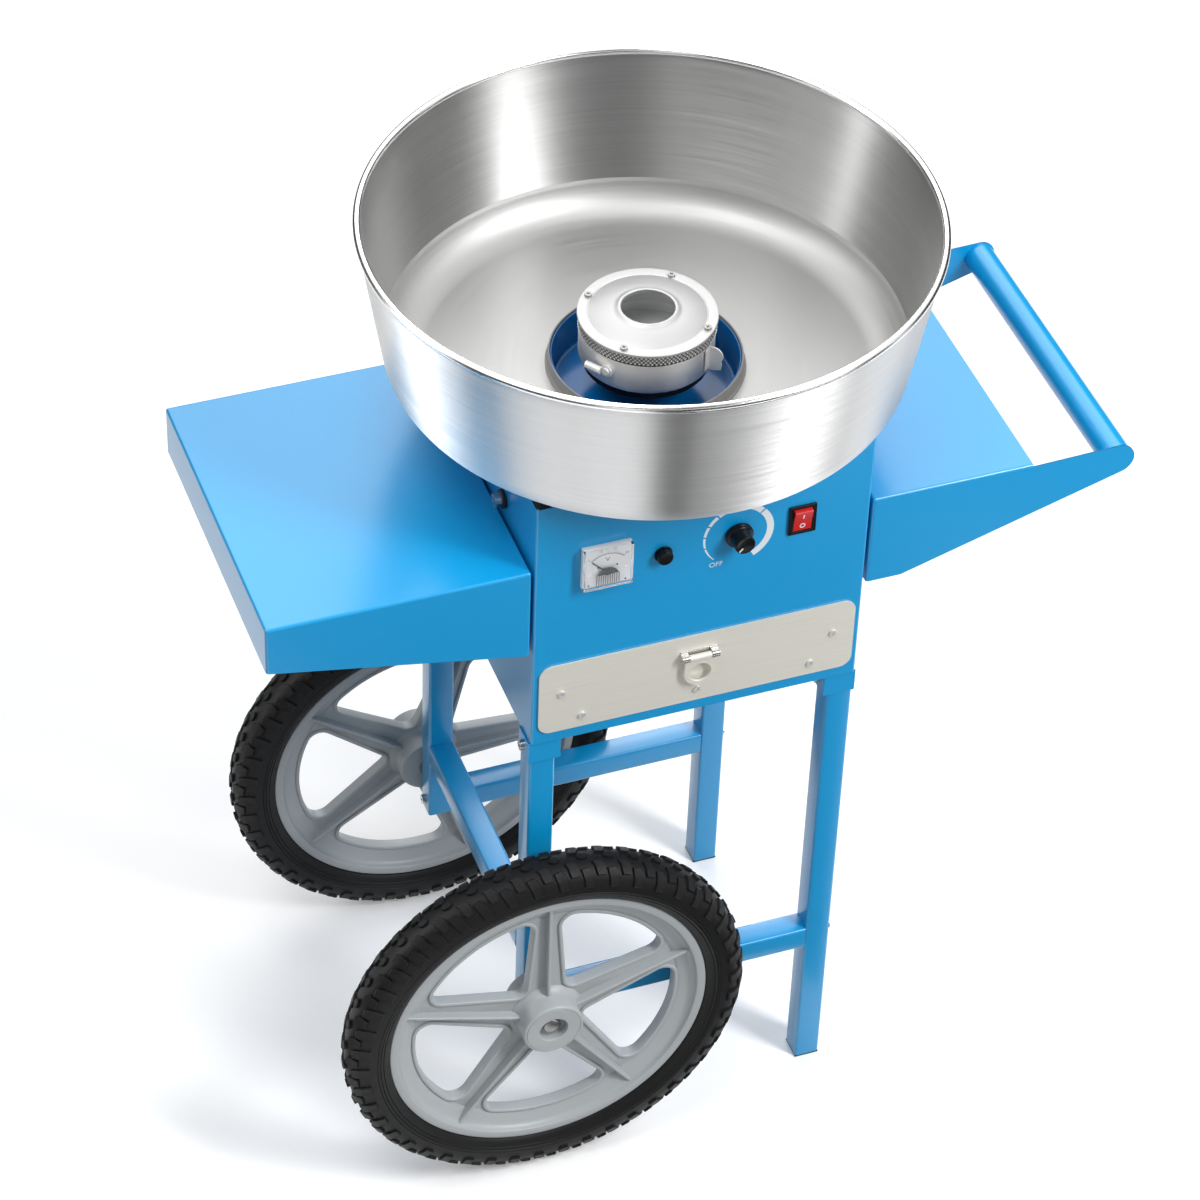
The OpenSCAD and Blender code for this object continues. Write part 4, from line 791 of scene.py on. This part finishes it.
# %% Right shelf and handle
RIGHT_ROOT, TOP_END, PLATE_Y = 160.5, 316.5, 158.5
END_X, END_Z, END_R = 402.0, SHELF_TOP - 16.0, 16.0
FOOT_X = RIGHT_ROOT + 34.0
reach_x, reach_z = END_X - FOOT_X, END_Z - ROOT_LOW
tangent = math.degrees(math.atan2(reach_z, reach_x) + math.asin(END_R / math.hypot(reach_x, reach_z))) - 90
rim = arc((END_X, END_Z), END_R, tangent, 90, 14)
side = [(RIGHT_ROOT, ROOT_LOW), (FOOT_X, ROOT_LOW)] + rim + [(TOP_END, SHELF_TOP), (RIGHT_ROOT, SHELF_TOP)]
count = len(side)
points = [(x, -PLATE_Y, z) for x, z in side] + [(x, PLATE_Y, z) for x, z in side]
faces = [tuple(range(count)), tuple(reversed(range(count, 2 * count))),
         (count - 1, count - 2, 2 * count - 2, 2 * count - 1), (0, count - 1, 2 * count - 1, count)]
folded("right_folded_shelf", points, faces, ("right_shelf",))

HANDLE_R, HANDLE_Y = 14.5, 157.0
tube = [(HANDLE_R, -HANDLE_Y), (HANDLE_R, HANDLE_Y)]
tube += [(HANDLE_R - GAUGE, HANDLE_Y), (HANDLE_R - GAUGE, -HANDLE_Y)]
handle = moved(lathe(tube, 64), lambda p: (END_X + p[0], p[2], END_Z + p[1]))
piece("handle_bar", *handle, "blue_paint", "cart", ("handle_tube",))
print("shelf edge tangent", round(tangent, 1))

# %% [markdown]
# ## Legs and braces
# Square steel tube has round corners from the rolls that form it. A bevelled box would look alike from
# the side, but the left legs end open at the bottom. So one helper draws a rounded square inside
# another and pulls both along any axis.

# %% Square tube
TUBE, TUBE_CORNER, TUBE_WALL = 25.0, 2.6, 1.5
LEG_X = 145.5
LEFT_FOOT, RIGHT_FOOT = 160.0, 2.0
BRACE_Z, BEAM_Z = 172.5, 244.5
BRACE_X, BEAM_Y = LEG_X - TUBE / 2, LEG_Y - TUBE / 2


def rounded_square(side, radius, steps=4):
    half = side / 2 - radius
    ring = []
    for k, (x, y) in enumerate(((half, half), (-half, half), (-half, -half), (half, -half))):
        ring += arc((x, y), radius, 90 * k, 90 * k + 90, steps)
    return ring


def square_tube(name, middle, start, end, axis, stands_for):
    """A tube whose middle line crosses the given point, from start to end along the axis."""
    outer = rounded_square(TUBE, TUBE_CORNER)
    inner = rounded_square(TUBE - 2 * TUBE_WALL, TUBE_CORNER - TUBE_WALL)
    n = len(outer)
    flat = [(p, t) for ring in (outer, inner) for t in (start, end) for p in ring]
    order = {"X": lambda p, t: (t, middle[1] + p[0], middle[2] + p[1]),
             "Y": lambda p, t: (middle[0] + p[0], t, middle[2] + p[1]),
             "Z": lambda p, t: (middle[0] + p[0], middle[1] + p[1], t)}[axis]
    points = [order(p, t) for p, t in flat]
    faces = []
    for i in range(n):
        j = (i + 1) % n
        faces += [(i, j, n + j, n + i), (2 * n + i, 3 * n + i, 3 * n + j, 2 * n + j),
                  (i, 2 * n + i, 2 * n + j, j), (n + i, n + j, 3 * n + j, 3 * n + i)]
    return piece(name, points, faces, "blue_paint", "cart", stands_for)


ENDS = (("front", -LEG_Y), ("rear", LEG_Y))
for side_word, x, foot in (("left", -LEG_X, LEFT_FOOT), ("right", LEG_X, RIGHT_FOOT)):
    for end_word, y in ENDS:
        node = end_word + "_" + side_word + "_leg"
        square_tube(node + "_tube", (x, y, 0), foot, CAB_LOW, "Z", (node,))
for end_word, y in ENDS:
    node = end_word + "_brace"
    square_tube(node + "_tube", (0, y, BRACE_Z), -BRACE_X, BRACE_X, "X", (node,))
square_tube("axle_beam_tube", (-LEG_X, 0, BEAM_Z), -BEAM_Y, BEAM_Y, "Y", ("axle_beam",))
soften("foot_plugs", 0.7)
soften("leg_sockets", 0.4)
print("square tubes: 7")

# %% [markdown]
# ## Wheels
# Each wheel is one plastic moulding: a channelled rim, a thin web with five windows, a raised lip round
# every window, a stiffening rib on each spoke and a thick hub. Web and lips are filled curves, which
# round their edges by themselves. Rim and hub come off the lathe.

# %% Wheel outlines
WHEEL_X, WHEEL_Y, WHEEL_Z = -148.0, 186.5, 200.0
WINDOW_R, SPOKES = 130.0, 5
FOOT_W, TIP_W, FOOT_R = 38.0, 24.0, 40.0
FALL = (FOOT_W - TIP_W) / 2 / (WINDOW_R - FOOT_R)
HALF_0 = FOOT_W / 2 + FALL * FOOT_R
SLOPE = math.hypot(1, FALL)
STEP = 360 / SPOKES
CURVE_JOIN = 0.000005


def window(grow=0.0):
    """One window's outline, the one clockwise of the upright spoke, grown outwards by some millimetres."""
    corner_r, tip_r = 13.0, 10.0
    ring = WINDOW_R - corner_r
    a = 90 - math.degrees(math.asin((corner_r * SLOPE + HALF_0) / (ring * SLOPE)) - math.atan(FALL))
    half, lean = math.radians(STEP / 2), math.degrees(math.atan(FALL))
    tip = (tip_r * SLOPE + HALF_0) / (math.sin(half) + FALL * math.cos(half))
    middle = 90 - STEP / 2
    b = 2 * middle - a
    line = arc(polar(ring, a), corner_r + grow, 180 + lean, a, 8)
    line += arc((0, 0), WINDOW_R + grow, a, b, 16)[1:-1]
    line += arc(polar(ring, b), corner_r + grow, b, 2 * middle - 180 - lean, 8)
    line += arc(polar(tip, middle), tip_r + grow, 2 * middle - 180 - lean, -180 + lean, 8)
    return line


def upright_mesh(curve, x, y, z, side):
    """The mesh of a flat curve, stood up at a point in millimetres: side -1 faces the user, 1 faces away."""
    holder = linked(curve.name + "_curve", curve)
    mesh = finished_mesh(holder)
    bpy.data.objects.remove(holder)
    mesh.transform(Matrix((
        (1, 0, 0, (x + AXIS_X) / 1000), (0, 0, side, y / 1000), (0, 1, 0, z / 1000), (0, 0, 0, 1))))
    return mesh


def plate(name, outlines, half_thick, edge, side, body):
    """A flat plate from closed outlines, upright at a wheel's place, with rounded edges."""
    curve = bpy.data.curves.new(name, "CURVE")
    curve.dimensions = "2D"
    curve.fill_mode = "BOTH"
    curve.extrude = (half_thick - edge) / 1000
    curve.bevel_depth = edge / 1000
    curve.bevel_resolution = 2
    curve.offset = -edge / 1000
    for line in outlines:
        spline = curve.splines.new("POLY")
        spline.points.add(len(line) - 1)
        spline.use_cyclic_u = True
        for point, (x, y) in zip(spline.points, line):
            point.co = (x / 1000, y / 1000, 0, 1)
    mesh = upright_mesh(curve, WHEEL_X, side * WHEEL_Y, WHEEL_Z, side)
    return dress(name, cleaned(mesh, CURVE_JOIN), "wheel_plastic", body, (), 40)


def at_wheel(part, side, y=0.0):
    """A part drawn around Z, moved to a wheel's axis, at a distance from the cart's middle."""
    return moved(part, lambda p: (WHEEL_X + p[0], side * (y + p[2]), WHEEL_Z + p[1]))

# %% Wheels
rim_line = [(158, -15)] + arc((157, -15), 1, 0, -90, 3) + arc((150.5, -14.5), 1.5, -90, -180, 3)
rim_line += [(148.4, -12), (146, -9.4), (143, -8.2), (137, -6), (132.5, -4.4), (131.6, -3.4)]
rim_line += [(r, -h) for r, h in reversed(rim_line)]
hub_line = [(6.1, -26.5), (28.5, -26.5)] + arc((28.5, -25), 1.5, -90, 0, 3)
hub_line += [(30, -14), (31.4, -8), (36, -4.5), (36, 4.5), (31.4, 8), (30, 14)]
hub_line += arc((27.4, 25.9), 2.6, 0, 90, 4) + [(27.2, 28.5), (26.8, 27.9), (26.4, 28.5)]
hub_line += arc((15, 27.5), 1, 90, 180, 3) + [(14, 20.5), (6.1, 20.5)]
rib_line = [(26, 13.0), (26, -13.0), (147.5, -12.0), (147.5, 12.0)]

RIB_HALF = 1.7
rib = [(x, r, w) for r, w in rib_line for x in (-RIB_HALF, RIB_HALF)]
rib_faces = [(0, 1, 3, 2), (2, 3, 5, 4), (4, 5, 7, 6), (6, 7, 1, 0), (0, 2, 4, 6), (1, 7, 5, 3)]
WEB_R, WEB_HOLE, WEB_HALF, WEB_EDGE = 134.0, 20.0, 4.0, 1.2
LIP_OUT, LIP_IN, LIP_HALF, LIP_EDGE = 3.6, -0.4, 6.2, 1.5
disc = arc((0, 0), WEB_R, 0, 360, 120)[:-1]
hole = arc((0, 0), WEB_HOLE, 0, 360, 60)[:-1]
REAR_TURN = -18

for word, side, rest in (("front", -1, 0), ("rear", 1, REAR_TURN)):
    body = word + "_wheel"
    turns = [rest + STEP * k for k in range(SPOKES)]
    rim = at_wheel(lathe(rim_line, 160), side, WHEEL_Y)
    hub = at_wheel(lathe(hub_line, 96), side, WHEEL_Y)
    piece(word + "_rim", *rim, "wheel_plastic", body, (body,), sharp=45)
    piece(word + "_hub", *hub, "wheel_plastic", body, sharp=45)
    web = [disc, hole] + [turned(window(), turn) for turn in turns]
    plate(word + "_web", web, WEB_HALF, WEB_EDGE, side, body)
    ribs = []
    for k, turn in enumerate(turns):
        lip = [turned(window(grow), turn) for grow in (LIP_OUT, LIP_IN)]
        plate("%s_lip_%d" % (word, k + 1), lip, LIP_HALF, LIP_EDGE, side, body)
        flat = turned([(x, r) for x, r, _ in rib], turn)
        ribs.append(([(*spot, w) for spot, (_, _, w) in zip(flat, rib)], rib_faces))
    ribs = at_wheel(merge(*ribs), side, WHEEL_Y)
    round_edges(piece(word + "_ribs", *ribs, "wheel_plastic", body), 1.3)
print("wheel windows:", SPOKES, "spoke fall", round(FALL, 3))

# %% [markdown]
# ## Tyres
# The solid rubber tyre has a smooth flank with three moulded rings and a blocky tread: two staggered
# rows of shoulder lugs on each side and a row of oval studs along the middle. Displacement could raise
# them, but only a very fine mesh would keep their edges crisp. So a lug is drawn flat, as distance
# across and along the tread, and then wrapped on the tyre's section.

# %% Tyre section
SECTION = [(196.9, 0), (196.7, 4), (196, 8), (194.5, 12), (192.1, 15.6), (188.8, 18.8), (184.5, 21),
           (178.5, 22.3), (173, 22.6), (167, 21.6), (162, 19.2)]
LENGTHS = [0.0]
for (r0, w0), (r1, w1) in zip(SECTION, SECTION[1:]):
    LENGTHS.append(LENGTHS[-1] + math.hypot(r1 - r0, w1 - w0))
PITCHES = 46
TREAD_R = 195.0
HALF_LAG = 0.5 * math.pi / PITCHES
LUG_ROOT, LUG_EDGE, LUG_TAPER = -1.5, 0.8, 0.9


def on_section(across, height):
    """Radius and width of a point above the tyre's section, at a signed distance from the crown."""
    run = abs(across)
    k = max(i for i in range(len(LENGTHS) - 1) if LENGTHS[i] <= run)
    (r0, w0), (r1, w1) = SECTION[k], SECTION[k + 1]
    f = (run - LENGTHS[k]) / (LENGTHS[k + 1] - LENGTHS[k])
    length = math.hypot(r1 - r0, w1 - w0)
    out_r, out_w = (w1 - w0) / length, (r0 - r1) / length
    r, w = r0 + f * (r1 - r0) + out_r * height, w0 + f * (w1 - w0) + out_w * height
    return r, math.copysign(w, across) if across else w


def in_tread(r, w, turn):
    return (r * math.sin(turn), r * math.cos(turn), w)


def lug(outline, tall, turn_at, flip):
    """Outline of (across, along) points, raised from the section in three rings and closed by a middle."""
    n = len(outline)
    middle_u, middle_s = sum(u for u, _ in outline) / n, sum(s for _, s in outline) / n
    rows = [(1.0, LUG_ROOT), (1.0, tall - LUG_EDGE), (LUG_TAPER, tall)]
    points, faces = [], []
    for shrink, height in rows:
        for u, s in outline:
            u2, s2 = middle_u + (u - middle_u) * shrink, middle_s + (s - middle_s) * shrink
            r, w = on_section(flip * u2, height)
            points.append(in_tread(r, w, turn_at + s2 / TREAD_R))
    points.append(in_tread(*on_section(flip * middle_u, tall), turn_at + middle_s / TREAD_R))
    for row in (0, n):
        faces += [(row + i, row + (i + 1) % n, row + n + (i + 1) % n, row + n + i) for i in range(n)]
    faces += [(2 * n + i, 2 * n + (i + 1) % n, 3 * n) for i in range(n)]
    faces.append(tuple(range(n)))
    return points, faces


print("half a section is", round(LENGTHS[-1], 1), "long")

# %% Tread
OUTER_LUG = [(13, 0.5), (11.8, 8.5), (17, 12.4), (23, 14.2), (30.5, 14.4), (30.8, 4.6), (25, 3.6), (18, 1.6)]
INNER_LUG = [(6.4, 13), (5.6, 21.5), (9.5, 25.2), (15, 25.6), (19.6, 25.2), (20, 16.8), (16, 15.4)]
INNER_LUG.append((10.5, 14.8))
STUD = [(3.4 * c, 5.2 + 5.4 * s) for c, s in arc((0, 0), 1.0, 0, 324, 9)]
OUTER_H, INNER_H, STUD_H = 2.2, 2.7, 2.9
flank = [(162, 19.2), (165.4, 20.9), (165.9, 20.4), (166.5, 21.3), (168.6, 22), (169.1, 21.5)]
flank += [(169.7, 22.3), (171.6, 22.6), (172.1, 22.1), (172.7, 22.7), (178.5, 22.3)]
carcass = [(158.1, 15.8), (159, 17.2)] + flank + SECTION[6::-1]
carcass = carcass + [(r, -w) for r, w in reversed(carcass[:-1])]
for word, side in (("front", -1), ("rear", 1)):
    parts = [lathe(carcass, 184)]
    for k in range(PITCHES):
        at = 2 * math.pi * k / PITCHES
        parts += [lug(OUTER_LUG, OUTER_H, at, 1), lug(INNER_LUG, INNER_H, at, 1), lug(STUD, STUD_H, at, 1)]
        parts += [lug(OUTER_LUG, OUTER_H, at + HALF_LAG, -1), lug(INNER_LUG, INNER_H, at + HALF_LAG, -1)]
    whole = at_wheel(merge(*parts), side, WHEEL_Y)
    piece(word + "_tread", *whole, "tyre_rubber", word + "_wheel", (word + "_tyre",), sharp=38)
print("lugs on each tyre:", PITCHES * 5)

# %% Axles
AXLE = [(0.05, 130.4), (6, 130.4), (6, 155.5), (11, 155.5), (11, 159.7), (6, 159.7), (6, 207.3)]
AXLE += [(9, 207.3), (9, 209.6)] + [(9 * c, 209.6 + 2.7 * s) for c, s in arc((0, 0), 1.0, 20, 80, 3)]
AXLE.append((0.05, 212.3))
WELD = [(0.05, 130.2), (7.2, 130.2), (7.2, 131.5), (0.05, 131.5)]
for word, side, stands_for in (("front", -1, ("stub_axles",)), ("rear", 1, ())):
    axle, weld = (at_wheel(lathe(line, 48), side) for line in (AXLE, WELD))
    piece(word + "_axle", *axle, "bright_metal", "cart", stands_for, 40, dull_steel)
    piece(word + "_axle_weld", *weld, "blue_paint", "cart", sharp=40)
print("axles: 2, painted welds: 2")

# %% [markdown]
# ## Control panel
# The scale around the knob is screen printed: dashes that grow from thin to broad and end in a solid
# band, with a mark for off. A picture could show it, but shapes stay sharp at any distance. So the
# print is laid on the panel as a film of flat shapes, a tenth of a millimetre thick.

# %% Print helpers
PANEL_Y = -158.5
FILM = 0.12
SUNK = 0.3


def film(outlines, plane, thick=FILM):
    """Flat shapes of (x, z) points on the front, as thin prisms that face the user."""
    points, faces = [], []
    for line in outlines:
        faces += prism_faces(len(points), len(line))
        points += [(x, plane + SUNK, z) for x, z in line] + [(x, plane - thick, z) for x, z in line]
    return points, faces


def ring_piece(centre, inner, outer, start, end, steps=10):
    """A piece of a ring whose width may change: inner and outer are radii at both ends."""
    out_line, in_line = [], []
    for i in range(steps + 1):
        f = i / steps
        for line, (r0, r1) in ((out_line, outer), (in_line, inner)):
            line.append(polar(r0 + (r1 - r0) * f, start + (end - start) * f, centre))
    return out_line + in_line[::-1]


def lettering(name, text, size, x, z, plane, slot, body, material, raise_by=FILM):
    """Upright letters on a plane that faces the user, centred at a point."""
    font = bpy.data.curves.new(name, "FONT")
    font.body = text
    font.size = size / 1000
    font.align_x = "CENTER"
    font.align_y = "CENTER"
    font.extrude = raise_by / 1000
    font.resolution_u = 4
    mesh = upright_mesh(font, x, plane, z, -1)
    return dress(name, mesh, slot, body, (), 30, material)

# %% Heat scale
KNOB = (32.0, 727.0)
DASHES = [(228, 199), (196, 176), (173, 154), (151, 131), (128, 106), (103, 75), (72, 45)]
SCALE_START, BAND_START, BAND_END = DASHES[0][0], 42, -62
PRINT_R, BAND_R = 33.5, 27
THIN, GROWTH = 0.8, 5.6


def scale_width(angle):
    return THIN + GROWTH * (SCALE_START - angle) / (SCALE_START - BAND_START)


marks = []
for start, end in DASHES:
    inner = (PRINT_R - scale_width(start), PRINT_R - scale_width(end))
    marks.append(ring_piece(KNOB, inner, (PRINT_R, PRINT_R), start, end))
marks.append(ring_piece(KNOB, (BAND_R, BAND_R), (PRINT_R, PRINT_R), BAND_START, BAND_END, 24))
piece("heat_scale", *film(marks, PANEL_Y), "white_plastic", "cart", material=print_white)
lettering("off_mark", "OFF", 7.5, KNOB[0] - 20, KNOB[1] - 31, PANEL_Y, "white_plastic", "cart", print_white)
print("scale marks:", len(marks))

# %% [markdown]
# ## Meter
# A moving-coil meter has a clear moulded cover over a printed card. The cover's front edges are
# bevelled, which shows as pale lines. A ribbed guard hides the coil at the bottom. Scale and ribs are
# films like the print on the panel, and the numbers are text curves made into meshes, because both stay
# sharp close up. The stops, screws and pins come off the lathe.

# %% Meter card
METER_X = -93.0
CARD_Y, PIVOT_Z = -163.6, 721.5
PIVOT = (METER_X, PIVOT_Z)
SCALE_R, NUMBER_R, LINE_W = 20.6, 25.4, 0.5
SWEEP_START, SWEEP, MARKS = 135, 90, 20
CARD_FILM = 0.05


def facing_front(part, x, z):
    """A part turned around Z, laid so that its axis points to the user."""
    return moved(part, lambda p: (x + p[0], -p[2], z + p[1]))


soften("meter_case", 0.5)
soften("meter_dial", 0.1)
soften("meter_window", 1.1, 2)
line_in, line_out = (SCALE_R, SCALE_R), (SCALE_R + LINE_W, SCALE_R + LINE_W)
arc_marks = [ring_piece(PIVOT, line_in, line_out, SWEEP_START, SWEEP_START - SWEEP, 24)]
low = (SCALE_R + 0.2, SCALE_R + 0.2)
for k in range(MARKS + 1):
    a = SWEEP_START - SWEEP * k / MARKS
    top = SCALE_R + (3.2 if k % 5 == 0 else 1.9)
    arc_marks.append(ring_piece(PIVOT, low, (top, top), a + 0.5, a - 0.5, 2))
piece("meter_scale", *film(arc_marks, CARD_Y, CARD_FILM), "white_plastic", "cart", material=print_black)
for k, number in enumerate(("0", "100", "200", "300")):
    lettering("meter_number_%d" % (k + 1), number, 2.6, *polar(NUMBER_R, SWEEP_START - SWEEP * k / 3, PIVOT),
              CARD_Y, "white_plastic", "cart", print_black, CARD_FILM)
lettering("meter_unit", "V", 7.0, METER_X, 735.8, CARD_Y, "white_plastic", "cart", print_black, CARD_FILM)
print("meter scale pieces:", len(arc_marks))

# %% Meter guard, stops and screws
GUARD_Y, RIB_Y = -165.9, -165.7
guard_line = arc((METER_X, 717.4), 10.4, 19, 161, 20)
piece("coil_guard", *film([guard_line], GUARD_Y, 0.25), "black_plastic", "cart", material=print_black)
RIB, RIB_LOW, RIB_HIGH = 0.4, 709, 720.6
rib = [(-RIB, RIB_LOW), (RIB, RIB_LOW), (RIB, RIB_HIGH), (-RIB, RIB_HIGH)]
RIB_PLACES = (-10.4, -8.3, -6.2, -4.1, -2.1, 0, 2.1, 4.1, 6.2, 8.3, 10.4)
ribs = [[(METER_X + x + dx, z) for dx, z in rib] for x in RIB_PLACES]
piece("coil_ribs", *film(ribs, RIB_Y, 0.2), "black_plastic", "cart", material=FINISH["seal_rubber"])
stop = [(0.05, 163.4), (0.7, 163.4), (0.7, 164.6), (0.05, 164.6)]
head = [(0.05, 163.4), (1.5, 163.4), (1.5, 163.8), (1.1, 164.2), (0.05, 164.3)]
plug = [(0.05, 163.4), (0.9, 163.4), (0.9, 163.9), (0.05, 163.9)]
for word, side in (("left", -1), ("right", 1)):
    for name, line, steps, x, z, slot in (("needle_stop_", stop, 16, 8.75, 728.4, "black_plastic"),
                                          ("card_screw_", head, 24, 16.7, 723.5, "bright_metal"),
                                          ("card_pin_", plug, 16, 17.2, 709, "black_plastic")):
        piece(name + word, *facing_front(lathe(line, steps), METER_X + side * x, z), slot, "cart")
print("guard ribs:", len(ribs))

# %% [markdown]
# ## Knob, fuse and switch
# The knob is glossy black plastic with a skirt, a hollowed waist and a flat end with a white pointer.
# The fuse cap is a black button on a stem. Both are round, so they come off the lathe like the bowl
# and are then laid on their sides. The switch's signs are a film that follows its rocker.

# %% Knob
KNOB_FACE = 175.7
knob_line = [(3, 159.1), (12.4, 159.1)] + arc((12.2, 159.9), 0.8, -60, 0, 3)
knob_line += arc((12.0, 162.1), 1.0, 0, 80, 4)
knob_line += [(10.9, 163.6), (10.3, 164.6), (9.9, 166.5), (9.6, 170)] + arc((8.5, 175), 1.0, 0, 90, 4)
knob_line += [(8.0, KNOB_FACE), (0.05, KNOB_FACE), (0.05, 160.5), (3, 160.5)]
knob = facing_front(lathe(knob_line, 64), *KNOB)
piece("knob_body", *knob, "black_plastic", "heat_knob", ("heat_knob",), sharp=50)
pointer = [(3.5, 0.7), (3.5, -0.7), (8.6, -0.7), (8.6, 0.7)]
pointer = [(KNOB[0] + x, KNOB[1] + z) for x, z in turned(pointer, SCALE_START)]
piece("knob_pointer", *film([pointer], -KNOB_FACE, 0.2), "white_plastic", "heat_knob", material=print_white)
print("knob face at", KNOB_FACE)

# %% Fuse cap
FUSE = (-39, 723)
fuse_line = [(0.05, 160.8), (7.1, 160.8)] + arc((7.0, 161.3), 0.5, -60, 0, 2) + [(7.5, 165.2)]
fuse_line += arc((6.0, 165.3), 1.5, 0, 90, 5) + [(0.05, 166.8)]
button = facing_front(lathe(fuse_line, 48), *FUSE)
piece("fuse_button", *button, "black_plastic", "fuse_cap", ("fuse_cap",), sharp=50)
stem = [(0.05, 134.5), (3.5, 134.5), (3.5, 161), (0.05, 161)]
piece("fuse_stem", *facing_front(lathe(stem, 32), *FUSE), "black_plastic", "fuse_cap")
soften("fuse_holder", 0.4)
print("fuse at", FUSE)

# %% Switch
soften("switch_housing", 0.6)
soften("switch_rocker", 0.5)
SWITCH = (92.0, -157.5, 729.0)
ROCK, FACE_OUT, HOLLOW = 9.0, 4.0, 11.56


def on_rocker(x, z, lift):
    """A point on the rocker's hollow front, which stands 4 to 5 mm before its pivot and leans with it."""
    (y, z), = turned([(-FACE_OUT - abs(z) / HOLLOW - lift, z)], ROCK)
    return (SWITCH[0] + x, SWITCH[1] + y, SWITCH[2] + z)


signs = [[(-0.6, 3.2), (0.6, 3.2), (0.6, 8.4), (-0.6, 8.4)]]
for start in (0, 180):
    signs.append(ring_piece((0, -5.8), (1.7, 1.7), (2.7, 2.7), start, start + 180))
points, faces = film(signs, 0.0)
points = [on_rocker(x, z, -y) for x, y, z in points]
piece("switch_signs", points, faces, "white_plastic", "switch_rocker", material=print_white)
print("switch signs:", len(signs))

# %% [markdown]
# ## Drawer and small parts
# The drawer's front is a plate of warm grey brushed steel. Its cut edges catch the light, so each edge
# is broken by a small bevel, and so are those of the pull, the mat and the other small parts.

# %% Drawer and small parts
for node, edge in (("drawer_front", 0.5), ("drawer_box", 0.3), ("pull_bracket", 0.5), ("pull_ring", 0.6)):
    soften(node, edge)
soften("head_terminals", 0.4).data.materials[0] = zinc_plate
for node, edge in (("bowl_mat", 0.6), ("top_plate", 0.5), ("cord_gland", 0.6)):
    soften(node, edge)
print("small parts: 8")

# %% [markdown]
# ## Size
# The box of the dressed model is measured and printed.

# %% Write the sizes
low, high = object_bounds()
print("visual", [round(v, 4) for v in (*low, *high)])
